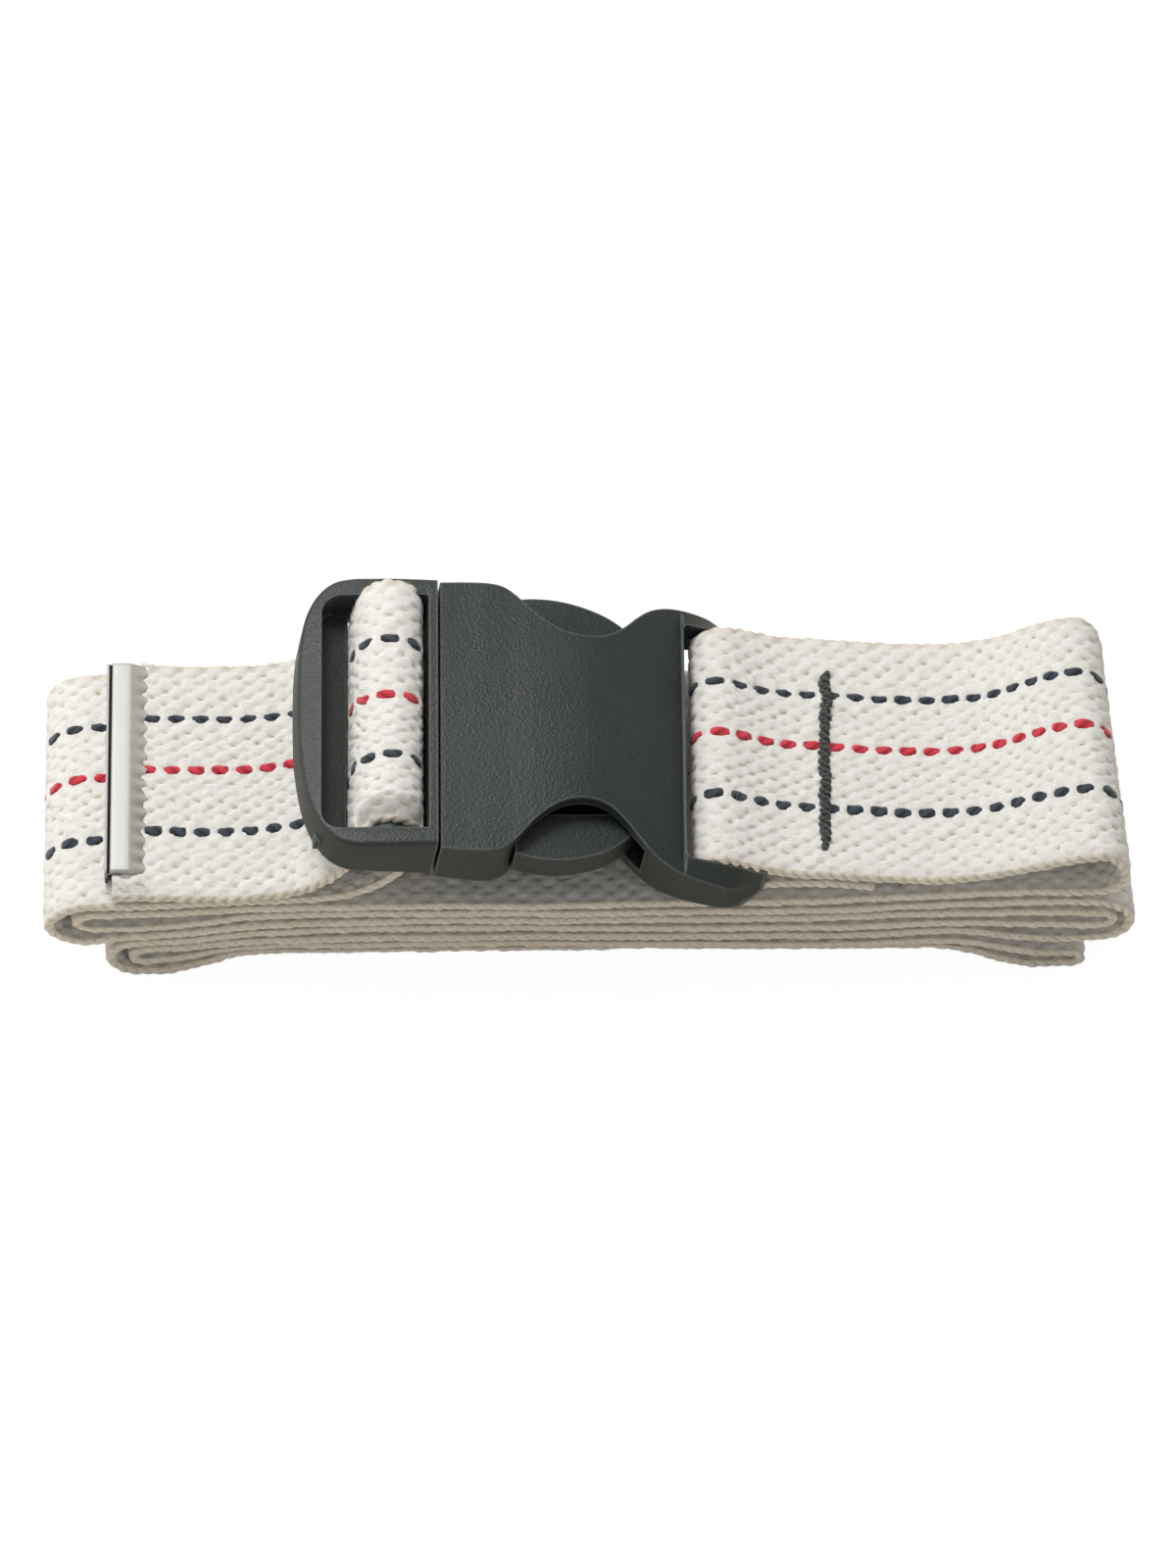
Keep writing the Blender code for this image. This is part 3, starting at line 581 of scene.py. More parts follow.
# ------------------------------------------------------------------ materials
def cotton_material(name, light, dark, fleck_share=0.5):
    """Cotton: fibrous streaks, painted shade in the crevices, seed flecks, soft sheen."""
    _, tree, bsdf = material_parts = new_material(name)

    def whitened(share):
        return tuple((1 - share) * channel + share for channel in dark)

    up = attribute_value(tree, "up")
    tone = noise(tree, cloth_coords(tree), Scale=0.45, Detail=4.0, Roughness=0.6)
    shade = tuple(channel * k for channel, k in zip(light, (0.92, 0.905, 0.88)))
    tone_colour = ramp(tree, tone, [(0.30, shade), (0.60, light)])
    streak = noise(tree, cloth_coords(tree, along=0.9, across=6.0, slant=1.6),
                   Scale=1.6, Detail=6.0, Roughness=0.7)
    streak_colour = ramp(tree, streak, [
        (0.30, (0.66, 0.62, 0.55)), (0.46, (0.90, 0.885, 0.85)), (0.58, 1.0)])
    # painted shade: the lower a point lies in the weave, the nearer its colour comes to the dark
    # crevice colour
    painted_crevice_shade = ramp(tree, up, [
        (0.0, dark), (0.20, whitened(0.55)), (0.50, whitened(0.88)), (0.85, 1.0)])
    colour = mix(tree, 0.75, tone_colour, streak_colour, "MULTIPLY")
    colour = mix(tree, 1.0, colour, painted_crevice_shade, "MULTIPLY")
    # painted warm shade: the selvedges are a little warmer and darker
    edge = attribute_value(tree, "edge")
    colour = mix(tree, edge, colour, mix(tree, 1.0, colour, (0.95, 0.90, 0.82), "MULTIPLY"))
    spot = noise(tree, cloth_coords(tree, across=1.9), Scale=1.15, Detail=2.0, Roughness=0.45)
    spot_share = ramp(tree, spot, [(0.705, 0.0), (0.76, fleck_share)])
    colour = mix(tree, spot_share, colour, (0.42, 0.30, 0.17))
    # the plain roughness counts only while nothing is linked over it
    adjust(bsdf, Base_Color=colour, Roughness=0.92)
    adjust(bsdf, Roughness=ramp(tree, streak, [(0.3, 0.98), (0.7, 0.86)]),
           Specular_IOR_Level=0.2, Sheen_Weight=0.25, Sheen_Roughness=0.6)
    fibre = noise(tree, cloth_coords(tree, along=1.6, across=7.0, slant=3.0),
                  Scale=1.4, Detail=5.0, Roughness=0.75, Distortion=0.6)
    adjust(bsdf, Normal=bump(tree, fibre, Strength=0.95, Distance=0.00026))
    return material_parts[0]


def yarn_material(name, light, dark):
    """Dyed two-ply yarn: painted shade between the plies, lint catching the light."""
    material, tree, bsdf = new_material(name)
    ply = attribute_value(tree, "up")
    streak = noise(tree, cloth_coords(tree, along=1.2, across=6.0),
                   Scale=2.2, Detail=6.0, Roughness=0.7)
    # painted shade: darker between the plies and where the yarn dives under the cloth
    base = ramp(tree, ply, [(0.05, dark), (0.65, light)])
    lint_tone = ramp(tree, streak, [(0.30, 0.62), (0.55, 1.0), (0.78, 1.7)])
    adjust(bsdf, Base_Color=mix(tree, 1.0, base, lint_tone, "MULTIPLY"), Roughness=0.85,
           Specular_IOR_Level=0.25, Sheen_Weight=0.3,
           Normal=bump(tree, streak, Strength=0.6, Distance=0.00012))
    return material


def plastic_material(name):
    """Black acetal: fine orange-peel grain, with painted highlights along its edges."""
    material, tree, bsdf = new_material(name)
    place = node(tree, "TexCoord").outputs["Object"]
    grain = noise(tree, place, Scale=2300.0, Detail=3.0, Roughness=0.55)
    peel = node(tree, "TexVoronoi", Vector=place, Scale=1900.0, feature="SMOOTH_F1")
    cloud = noise(tree, place, Scale=60.0, Detail=4.0, Roughness=0.6)
    base = ramp(tree, cloud, [
        (0.35, (0.0125, 0.0180, 0.0150)), (0.65, (0.0170, 0.0235, 0.0200))])
    speck = ramp(tree, grain, [(0.35, 0.75), (0.65, 1.35)])
    colour = mix(tree, 0.8, base, speck, "MULTIPLY")
    # where a wide bevel turns the normal, the surface is near an edge
    normal = node(tree, "NewGeometry").outputs["Normal"]
    soft = node(tree, "Bevel", Radius=0.0007, samples=6).outputs["Normal"]
    dot = node(tree, "VectorMath", normal, soft, operation="DOT_PRODUCT").outputs["Value"]
    # painted highlight: a paler colour along the edges, where the bevel turns the normal
    edge_highlight_mask = ramp(tree, dot, [(0.86, 1.0), (0.990, 0.0)])
    edge_highlight_share = mix(tree, 1.0, edge_highlight_mask, speck, "MULTIPLY")
    colour = mix(tree, edge_highlight_share, colour, (0.125, 0.135, 0.13))
    adjust(bsdf, Base_Color=colour, Specular_IOR_Level=0.42,
           Roughness=ramp(tree, cloud, [(0.3, 0.44), (0.7, 0.54)]))
    edge = node(tree, "Bevel", Radius=0.00035, samples=4).outputs["Normal"]
    height = node(tree, "Math", grain, peel.outputs["Distance"], operation="ADD").outputs[0]
    adjust(bsdf, Normal=bump(tree, height, Strength=0.45, Distance=0.00020, Normal=edge))
    return material


def metal_material(name):
    """Bright nickel strip with fine rolling lines and faint haze, painted shade in its groove and
    between the crimp's teeth.
    """
    material, tree, bsdf = new_material(name)
    place = node(tree, "TexCoord").outputs["Object"]
    stretched = node(tree, "Mapping", Vector=place, Scale=(2600.0, 90.0, 2600.0))
    rolling = noise(tree, stretched.outputs["Vector"], Scale=1.0, Detail=3.0, Roughness=0.6)
    haze = noise(tree, place, Scale=160.0, Detail=5.0, Roughness=0.65)
    groove = attribute_value(tree, "up")
    base = ramp(tree, haze, [(0.3, (0.40, 0.393, 0.382)), (0.7, (0.44, 0.432, 0.42))])
    # painted shade: near black in the groove and darker between the crimp's teeth; the crimp's lip
    # is made a little lighter and warmer
    dark = ramp(tree, groove, [
        (0.0, (0.012, 0.010, 0.012)), (0.35, (1.15, 1.11, 1.0)), (0.6, 1.0)])
    adjust(bsdf, Base_Color=mix(tree, 1.0, base, dark, "MULTIPLY"), Metallic=0.5,
           Roughness=ramp(tree, haze, [(0.3, 0.50), (0.75, 0.60)]),
           Normal=bump(tree, rolling, Strength=0.25, Distance=0.00003))
    return material


COTTON = cotton_material(
    "natural_cotton_weave", light=(0.93, 0.915, 0.885), dark=(0.64, 0.56, 0.44))
LINT = cotton_material(
    "cotton_lint", light=(0.88, 0.86, 0.81), dark=(0.75, 0.70, 0.62), fleck_share=0.2)
NAVY = yarn_material(
    "navy_yarn_two_ply", light=(0.038, 0.051, 0.068), dark=(0.009, 0.012, 0.018))
RED = yarn_material("red_yarn_two_ply", light=(0.62, 0.036, 0.058), dark=(0.30, 0.012, 0.022))
THREAD = yarn_material(
    "charcoal_thread_twisted", light=(0.060, 0.063, 0.062), dark=(0.012, 0.013, 0.013))
ACETAL = plastic_material("black_acetal_grained")
METAL = metal_material("bright_nickel_strip")


# ------------------------------------------------------------------ woven pieces
def fit(obj, body, replaced=None):
    """Attach the piece to its body and hide the CAD piece it replaces; given a blend of two bodies,
    the piece is only fixed in place and the blend is not used.
    """
    if isinstance(body, str):
        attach(obj, body)
    else:
        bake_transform(obj)
    if replaced:
        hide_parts(replaced)


def strip(name, path, run, side, outer, inner, stride=1):
    """A closed woven strip; outer and inner name the columns of its good face and its back."""
    path, run, normal = rings(path, run, side, stride)
    run = run[:, None]
    outer_y, inner_y = COLUMNS[outer], COLUMNS[inner]

    def face(columns, sign):
        y = np.broadcast_to(columns[None, :], (len(run), len(columns)))
        height, up = weave(np.broadcast_to(run, y.shape), y, sign)
        # the weave fades out towards the selvedge
        fade = ease(np.abs(y), EDGE_ROW + 0.35, -1.1)
        height = -0.16 + (height + 0.16) * fade
        up = np.maximum(up, 0.30 * ease(np.abs(y), 23.0, 1.2))
        return y, sign * (HALF_THICK + height), up

    def selvedge(sign):
        angle = EDGE_ANGLES[::sign][None, :]
        turn = run / PICK + 0.42 * np.cos(angle)
        knot = np.abs(np.sin(np.pi * turn)) ** 0.75
        knot = 0.46 * knot * (0.65 + 0.7 * chance(np.floor(turn), sign + 3.0)) - 0.20
        reach = 0.55 + 0.10 * wander(run, sign + 5.0, 4.0)
        y = sign * (EDGE_ROW + (reach + knot) * np.sin(angle))
        height = (HALF_THICK - 0.16 + 0.4 * knot) * np.cos(angle)
        # up is low between the knots, where the cotton paints shade
        return y, height, np.clip(0.30 + 1.6 * knot, 0, 1)

    parts = [face(outer_y, 1), selvedge(1), face(inner_y[::-1], -1), selvedge(-1)]
    y, height, up = (np.concatenate(columns, 1) for columns in zip(*parts))
    points = swept(path, normal, height, y + lateral(run))
    # an offset keeps the two faces apart in the texture
    across = points[:, :, 1] + 60.0 * (np.arange(up.shape[1])[None, :] > len(outer_y) + 3)
    edge = np.zeros(up.shape)
    edge[:, len(outer_y) - 1:len(outer_y) + len(EDGE_ANGLES) + 1] = 1.0
    edge[:, -len(EDGE_ANGLES) - 1:] = 1.0
    edge[:, :1] = 1.0
    obj = tube_mesh(name, points, COTTON, {
        "up": up, "run": np.broadcast_to(run, up.shape), "across": across, "edge": edge})
    return obj


def yarn(name, key, path, run, side, ring=12, stride=1):
    """One continuous pattern yarn that floats on the good face and dives through to the other."""
    yarn_y, yarn_half, _ = PATTERN_YARNS[key]
    row = [entry[2] for entry in ROWS].index(key)
    path, run, normal = rings(path, run, side, stride)
    phase = float_phase(run, row, yarn_y)
    count = np.round(phase)
    off = np.abs(phase - count)
    size, rise = chance(row, count, 2.0), chance(row, count, 3.0)
    swing = np.tanh((0.40 + 0.03 * (size - 0.5) - off) / 0.04)  # 1 on the good face, -1 behind
    thick = 0.40
    centre = ((HALF_THICK + 0.10 + 0.05 * (rise - 0.5) - thick) * swing
              + 0.05 * np.cos(2 * np.pi * off) * (swing > 0))
    wide = (yarn_half * (0.56 + 0.50 * np.sqrt(np.clip(1 - (off / 0.43) ** 4, 0, 1)))
            * (0.93 + 0.14 * size))
    angle = np.arange(ring) / ring * 2 * np.pi
    # two plies twisted together show as slanting ridges
    twist = 2 * np.pi * run[:, None] / 2.6
    ridge = np.cos(2 * angle[None, :] - twist + 0.4)
    swell = 1 + 0.085 * ridge
    drift = 0.14 * (size - 0.5) + 0.10 * wander(run, 3.0 * row)
    y = (yarn_y + wide[:, None] * np.sin(angle)[None, :] * swell + drift[:, None]
         + lateral(run)[:, None])
    flattened = np.sign(np.cos(angle)) * np.abs(np.cos(angle)) ** 0.8
    height = centre[:, None] + thick * flattened[None, :] * swell
    points = swept(path, normal, height, y)
    # up is low between the ply ridges and where the yarn dives under, and the yarn material paints
    # shade there
    up = np.clip(0.5 + 0.5 * ridge, 0, 1) * np.clip(0.35 + swing[:, None], 0, 1)
    run = np.broadcast_to(run[:, None], up.shape)
    across = yarn_y + np.broadcast_to((angle / (2 * np.pi) * 3)[None, :], up.shape) + 0.35 * run
    material = RED if key == "red" else NAVY
    obj = tube_mesh(name, points, material, {"up": up, "run": run, "across": across})
    return obj


def lint(name, fibres, seed, thick=0.022):
    """Loose cotton fibres as thin closed tubes; fibres: list of (root, direction, length)."""
    rng = np.random.default_rng(seed)
    verts, faces = [], []
    sections, sides = 5, 3
    for root, direction, length in fibres:
        ahead = np.array(direction, float)
        ahead /= np.linalg.norm(ahead)
        side = np.cross(ahead, [0.3, 0.2, 1.0])
        side /= np.linalg.norm(side) + 1e-9
        other = np.cross(ahead, side)
        side_curl, other_curl = rng.uniform(-0.9, 0.9, 2)
        wave = rng.uniform(-0.5, 0.5)
        base = len(verts)
        for i in range(sections):
            t = i / (sections - 1)
            centre = (np.array(root) + ahead * length * t
                      + side * length * (side_curl * t * t + wave * math.sin(4 * t) * 0.3)
                      + other * length * other_curl * t * t * 0.8)
            radius = thick * (1 - 0.55 * t)
            for k in range(sides):
                angle = 2 * math.pi * k / sides
                verts.append(centre + radius * (side * math.cos(angle) + other * math.sin(angle)))
        for i in range(sections - 1):
            for k in range(sides):
                first, second = base + i * sides + k, base + i * sides + (k + 1) % sides
                faces.append((first, second, second + sides, first + sides))
        faces.append(tuple(base + k for k in range(sides))[::-1])
        faces.append(tuple(base + (sections - 1) * sides + k for k in range(sides)))
    mesh = bpy.data.meshes.new(name)
    points = settle(np.array(verts))
    mesh.from_pydata([tuple(point) for point in points * MM], [], faces)
    add_numbers(mesh, {"up": np.full(len(points), 0.8), "run": points[:, 0] * 3 + points[:, 2],
                       "across": points[:, 1] * 2})
    mesh.shade_smooth()
    mesh.materials.append(LINT)
    obj = linked_object(name, mesh)
    return obj


FIBRE_RNG = np.random.default_rng(7)


def loose_fibres(path, run, start, end, per_mm, side=1, face_per_mm2=0.0, longer=1.0):
    """Fibres rooted along both selvedges and on the good face, between two path indices."""
    rng = FIBRE_RNG
    tangent, normal = directions(path, side)
    out = []
    length = run[end] - run[start]
    for sign in (-1, 1):
        for _ in range(int(length * per_mm)):
            i = int(rng.integers(start, end))
            level = rng.uniform(-0.9, 0.9)
            y = sign * (EDGE_ROW + 0.45 * math.sqrt(1 - level * level)) + lateral(run[i])
            root = path[i] + normal[i] * (HALF_THICK * level * 0.9)
            direction = (tangent[i][0] * rng.uniform(-1.2, 1.2) + normal[i][0] * level,
                         sign * rng.uniform(0.15, 1.0),
                         tangent[i][1] * rng.uniform(-1, 1) + normal[i][1] * level)
            out.append(((root[0], y, root[1]), direction,
                        longer * float(rng.uniform(0.35, 1.15))))
    for _ in range(int(length * 48 * face_per_mm2)):  # over the 48 mm between the selvedges
        i = int(rng.integers(start, end))
        y = rng.uniform(-24, 24)
        root = path[i] + normal[i] * (HALF_THICK - 0.05)
        lean = rng.uniform(-1, 1)
        direction = (tangent[i][0] * lean + normal[i][0] * 0.35, rng.uniform(-0.8, 0.8),
                     tangent[i][1] * lean + normal[i][1] * 0.35)
        out.append(((root[0], y + float(lateral(run[i])), root[1]), direction,
                    longer * float(rng.uniform(0.4, 1.2))))
    return out


# ------------------------------------------------------------------ folded belt
HIDDEN_RING = 6  # points round a yarn that lies inside the stack
BELT_SECTIONS = [
    # strip, yarn suffix, (x, z) where it ends, outer and inner columns, strip stride, yarn ring
    ("sewn_end", "sewn", (BAR_X - 4.0, BAR_Z - 0.6), "medium", "medium", 1, HIDDEN_RING),
    ("top_run", "top", (86.0, 23.55), "fine", "medium", 1, 12),
    ("layers_two_three", "two_three", (88.0, 20.5), "edged", "medium", 2, HIDDEN_RING),
    ("right_fold_upper", "upper_fold", (83.0, 8.75), "fine", "edged", 1, 10),
    ("layers_six_seven", "six_seven", (80.0, 4.7), "edged", "edged", 2, HIDDEN_RING),
    ("right_fold_lower", "lower_fold", (79.0, 1.2), "fine", "edged", 1, 10),
    ("layer_eight", "eight", (-79.0, 1.05), "edged", "edged", 2, HIDDEN_RING),
    ("left_fold_lower", "left_fold", (-78.0, 9.9), "fine", "edged", 1, 10),
    ("layers_five_four", "five_four", (-92.0, 10.1), "edged", "edged", 2, HIDDEN_RING),
]
BELT_MARKS = [0] + [nearest(BELT_PATH, *section[2]) for section in BELT_SECTIONS]
BAR_TURN, TOP_END, LOAD_START = BELT_MARKS[1], BELT_MARKS[2], BELT_MARKS[-1]

belt_fibres = []
yarn_spans = []
for section, start, end in zip(BELT_SECTIONS, BELT_MARKS, BELT_MARKS[1:]):
    label, suffix, _, outer, inner, stride, ring = section
    is_top = label == "top_run"
    part = slice(start, end + 1)  # neighbouring sections share a ring
    piece = strip("belt_" + label, BELT_PATH[part], BELT_RUN[part], 1, outer, inner, stride)
    fit(piece, "belt", "belt_webbing" if is_top else None)
    belt_fibres += loose_fibres(BELT_PATH, BELT_RUN, start, end, per_mm=1.1,
                                face_per_mm2=0.05 if is_top else 0.0)
    yarn_spans.append((suffix, part, ring))
yarn_spans.sort(key=lambda span: span[2] == HIDDEN_RING)  # the visible ones come first
for key in PATTERN_YARNS:
    for suffix, part, ring in yarn_spans:
        piece = yarn(f"belt_yarn_{key}_{suffix}", key, BELT_PATH[part], BELT_RUN[part], 1,
                     ring, stride=2 if ring == HIDDEN_RING else 1)
        fit(piece, "belt", f"belt_yarn_{key}" if suffix == "top" else None)

# ------------------------------------------------------------------ load strap: belt to male half
LOAD_BLEND = ("belt", "male_half", (-97.8 * MM, 0, 0.025), (-32.0 * MM, 0, 0.025))
load_line = (BELT_PATH[LOAD_START:], BELT_RUN[LOAD_START:], 1)
fit(strip("load_strap", *load_line, "fine", "edged"), LOAD_BLEND)
for key in PATTERN_YARNS:
    fit(yarn(f"load_strap_yarn_{key}", key, *load_line), LOAD_BLEND)
load_fibres = loose_fibres(BELT_PATH, BELT_RUN, LOAD_START, len(BELT_RUN) - 1, per_mm=1.6,
                           face_per_mm2=0.05)
fit(lint("load_strap_fibres", load_fibres, seed=11), LOAD_BLEND)
fit(lint("belt_fibres", belt_fibres, seed=12), "belt")

# ------------------------------------------------------------------ adjuster loop and tail
TAIL_BLEND = ("male_half", "free_end", (-0.0515, 0, 0.026), (-0.0615, 0, 0.026))  # in metres
TAIL_START = nearest(LOOP_PATH, -50.0, 27.6)
loop_part = (LOOP_PATH[:TAIL_START + 1], LOOP_RUN[:TAIL_START + 1], -1)
tail_part = (LOOP_PATH[TAIL_START:], LOOP_RUN[TAIL_START:], -1)
fit(strip("adjuster_loop_woven", *loop_part, "fine", "medium"), "male_half", "adjuster_loop")
fit(strip("tail_woven", *tail_part, "fine", "medium"), TAIL_BLEND, "tail_webbing")
for key in PATTERN_YARNS:
    for label, part, body in (("loop", loop_part, "male_half"), ("tail", tail_part, TAIL_BLEND)):
        fit(yarn(f"{label}_woven_yarn_{key}", key, *part), body, f"{label}_yarn_{key}")
loop_fibres = loose_fibres(LOOP_PATH, LOOP_RUN, 0, TAIL_START, per_mm=2.2, side=-1,
                           face_per_mm2=0.06, longer=1.1)
fit(lint("adjuster_loop_fibres", loop_fibres, seed=13), "male_half")
tail_fibres = loose_fibres(LOOP_PATH, LOOP_RUN, TAIL_START, len(LOOP_RUN) - 1, per_mm=1.6,
                           side=-1, face_per_mm2=0.05)
fit(lint("tail_fibres", tail_fibres, seed=14), TAIL_BLEND)


# ------------------------------------------------------------------ stitching
def thread(name, points, radius, ring=8, replaced=None):
    """A closed twisted thread through the points, riding the belt."""
    points = np.array(points, float)
    tangent = np.gradient(points, axis=0)
    tangent /= np.linalg.norm(tangent, axis=1)[:, None] + 1e-12
    side = np.cross(tangent, np.array([0.0, 0.0, 1.0]))
    upright = np.linalg.norm(side, axis=1) < 0.2
    side[upright] = np.cross(tangent[upright], [1.0, 0.0, 0.0])
    side /= np.linalg.norm(side, axis=1)[:, None]
    other = np.cross(side, tangent)
    angle = np.arange(ring) / ring * 2 * np.pi
    run = lengths(points)
    ridge = np.cos(2 * angle[None, :] - 2 * np.pi * run[:, None] / 0.9)
    swollen = radius * (1 + 0.10 * ridge)
    surface = (points[:, None, :] + side[:, None, :] * (swollen * np.cos(angle))[:, :, None]
               + other[:, None, :] * (swollen * np.sin(angle))[:, :, None])
    # up is low between the twist ridges, where the thread material paints shade
    obj = tube_mesh(name, surface, THREAD, {
        "up": 0.5 + 0.5 * ridge,
        "run": np.broadcast_to(run[:, None], ridge.shape),
        "across": np.broadcast_to(angle[None, :], ridge.shape)})
    fit(obj, "belt", replaced)


def top_z(x):
    part = BELT_PATH[BAR_TURN:TOP_END]
    return part[nearest(part, x, 30.0)][1]


def low_z(x):
    part = BELT_PATH[:BAR_TURN]
    return part[nearest(part, x, 27.0)][1]


STRAND_POINTS = 260
STRAND_TURNS = 12.5
strand_rng = np.random.default_rng(31)


def uneven(count):
    """Random values from -1 to 1 at count places, spread over the strand's points."""
    return np.interp(np.linspace(0, 1, STRAND_POINTS), np.linspace(0, 1, count),
                     strand_rng.uniform(-1, 1, count))


lump = uneven(44)
drift = uneven(17)


def twisted_strand(phase, swell):
    """One of two thick strands of top thread, laid round each other in uneven lumps."""
    points, radii = [], []
    for k in range(STRAND_POINTS):
        t = k / (STRAND_POINTS - 1)
        y = TACK_Y1 + (TACK_Y0 - TACK_Y1) * t
        x = TACK_X + 0.75 * (1 - t) - 0.15 + 0.22 * drift[k]
        turn = 2 * math.pi * (t * STRAND_TURNS + 0.10 * lump[k]) + phase
        taper = min(1.0, t / 0.03 + 0.45, (1 - t) / 0.10 + 0.30)
        out = (0.62 + 0.16 * lump[k]) * taper
        points.append((x + out * math.sin(turn), y + 0.15 * math.cos(turn * 0.5),
                       top_z(x) + HALF_THICK + 0.12 + 0.34 * taper * math.cos(turn)))
        radii.append((0.50 + 0.12 * swell * lump[k]) * (0.72 + 0.28 * taper))
    return points, np.array(radii)[:, None]


def under_stitches(pitch=0.9, radius_x=0.9, radius_z=0.20, parts=6):
    """A coil of small stitches along the underside of the sewn end."""
    points = []
    for k in range(int((TACK_Y1 - TACK_Y0) / pitch)):
        y = TACK_Y1 - 0.4 - k * pitch
        for j in range(parts):
            angle = 2 * math.pi * j / parts
            x = TACK_X + radius_x * math.cos(angle)
            points.append((x, y - pitch * j / parts,
                           low_z(x) - HALF_THICK - 0.10 - radius_z * math.sin(angle)))
    return points


thread("bartack_top_stitching", *twisted_strand(0.0, 1.0), ring=10, replaced="bartack_thread")
thread("bartack_top_cord", *twisted_strand(math.pi, -0.8), ring=10)
loose_end = [
    (TACK_X + 0.6 + 1.1 * t, 9.6 + 1.2 * math.sin(2.4 * t) + 1.6 * t,
     top_z(TACK_X) + HALF_THICK + 0.35 + 0.5 * math.sin(math.pi * t))
    for t in np.linspace(0, 1, 14)]
thread("bartack_thread_end", loose_end, 0.36)
thread("bartack_under_stitching", under_stitches(), 0.24, ring=6)

# ------------------------------------------------------------------ crimped metal tip
TEETH = 15
TIP_WALL = 0.42
# Outer profile from the toothed upper lip, over the crimp, flat face and groove, to the middle
# of the left wall: x from TIP_X1, z from TIP_MID, tone (0 is the painted shade in the groove)
TIP_PROFILE = [
    (0.55, 1.10, 1), (0.05, 1.22, 1), (-0.7, 1.46, 1), (-1.5, 1.78, 1), (-2.1, 2.06, 1),
    (-2.40, 2.20, 1), (-2.62, 2.24, 1), (-3.4, 2.25, 1), (-4.4, 2.25, 1), (-5.3, 2.24, 1),
    (-5.72, 2.20, 1), (-5.86, 2.08, 0.5), (-5.95, 1.75, 0), (-6.15, 1.62, 0), (-6.38, 1.72, 0),
    (-6.46, 2.0, 0.6), (-6.56, 2.12, 1), (-6.70, 2.08, 1), (-6.80, 1.85, 1), (-6.84, 1.2, 1),
    (-6.85, 0.0, 1),
]


def crimped_tip():
    """A strip bent to a U: left wall, grooved shoulder, flat face, sloped crimp with teeth."""
    upper = [(TIP_X1 + x, z, tone) for x, z, tone in TIP_PROFILE]
    lower = [(x, -z, tone) for x, z, tone in upper[:-1]][::-1]
    outline = np.array(upper + lower, float)
    outer, tone = outline[:, :2], outline[:, 2]
    tangent = np.gradient(outer, axis=0)
    tangent /= np.linalg.norm(tangent, axis=1)[:, None]
    inward = np.c_[tangent[:, 1], -tangent[:, 0]]
    if inward[len(upper) - 1][0] < 0:
        inward = -inward
    loop_x, loop_z = np.r_[outer, (outer + inward * TIP_WALL)[::-1]].T
    loop_tone = np.r_[tone, np.ones(len(tone))]
    lip = np.clip((loop_x - (TIP_X1 - 2.5)) / 3.05, 0, 1)  # 0 on the flat, 1 at the teeth
    stations = np.linspace(TIP_Y0, TIP_Y1, TEETH * 14 + 1)
    points = np.zeros((len(stations), len(loop_x), 3))
    up = np.zeros((len(stations), len(loop_x)))
    for i, y in enumerate(stations):
        tooth = (y - TIP_Y0) / (TIP_Y1 - TIP_Y0) * TEETH
        notch = abs(math.cos(math.pi * tooth)) ** 1.6  # 1 between teeth, 0 on their crests
        end = min(1.0, (min(y - TIP_Y0, TIP_Y1 - y)) / 0.5)
        rounding = 1 - 0.16 * (1 - end) ** 2
        press = np.sign(loop_z) * lip * 0.20 * notch
        points[i, :, 0] = loop_x - lip ** 2 * 0.62 * notch
        points[i, :, 1] = y
        points[i, :, 2] = TIP_MID + (loop_z - press) * rounding
        # tone on the crimp: lower between the teeth, a painted shade
        up[i] = np.where(lip > 0.02, 0.40 - 0.16 * lip * notch - 0.05 * (y < 0), loop_tone)
    obj = tube_mesh("end_tip_crimped", points, METAL, {
        "up": up, "run": np.broadcast_to(stations[:, None], up.shape),
        "across": np.broadcast_to(loop_x[None, :], up.shape)})
    obj.data.set_sharp_from_angle(angle=math.radians(42))
    return obj


def tip_fluff():
    """Frayed fibres at both ends of the tip, most of them at the near end."""
    rng = FIBRE_RNG
    fibres = []
    for _ in range(420):
        sign = -1 if rng.uniform() < 0.8 else 1
        y = (TIP_Y0 - rng.uniform(0, 2.2)) if sign < 0 else (TIP_Y1 + rng.uniform(0, 0.8))
        x = rng.uniform(TIP_X0 + 0.4, TIP_X1 + 1.0)
        z = TIP_MID + rng.uniform(-0.9, 1.3)
        direction = (rng.uniform(-1, 1), sign * rng.uniform(-0.2, 1.0), rng.uniform(-0.6, 0.8))
        fibres.append(((x, y, z), direction, float(rng.uniform(0.7, 1.9))))
    return fibres


tip = crimped_tip()
fit(tip, "free_end", "end_tip")
fit(lint("tail_end_fluff", tip_fluff(), seed=15, thick=0.03), "free_end")

# ------------------------------------------------------------------ buckle helpers
BUCKLE = Matrix.Translation([c * MM for c in BUCKLE_AT]) @ Matrix.Rotation(PITCH, 4, "Y")
WORK = bpy.data.collections.new("work")
bpy.context.scene.collection.children.link(WORK)


def crown(along):
    """Height of the shell's top, eased through the CROWN stations."""
    for i, ((start, start_h), (end, end_h)) in enumerate(zip(CROWN, CROWN[1:])):
        if along <= end:
            before, after = CROWN[max(i - 1, 0)], CROWN[min(i + 2, len(CROWN) - 1)]
            start_slope = (end_h - before[1]) / (end - before[0])
            end_slope = (after[1] - start_h) / (after[0] - start)
            t, width = (along - start) / (end - start), end - start
            return ((2 * t ** 3 - 3 * t ** 2 + 1) * start_h
                    + (t ** 3 - 2 * t ** 2 + t) * width * start_slope
                    + (-2 * t ** 3 + 3 * t ** 2) * end_h
                    + (t ** 3 - t ** 2) * width * end_slope)


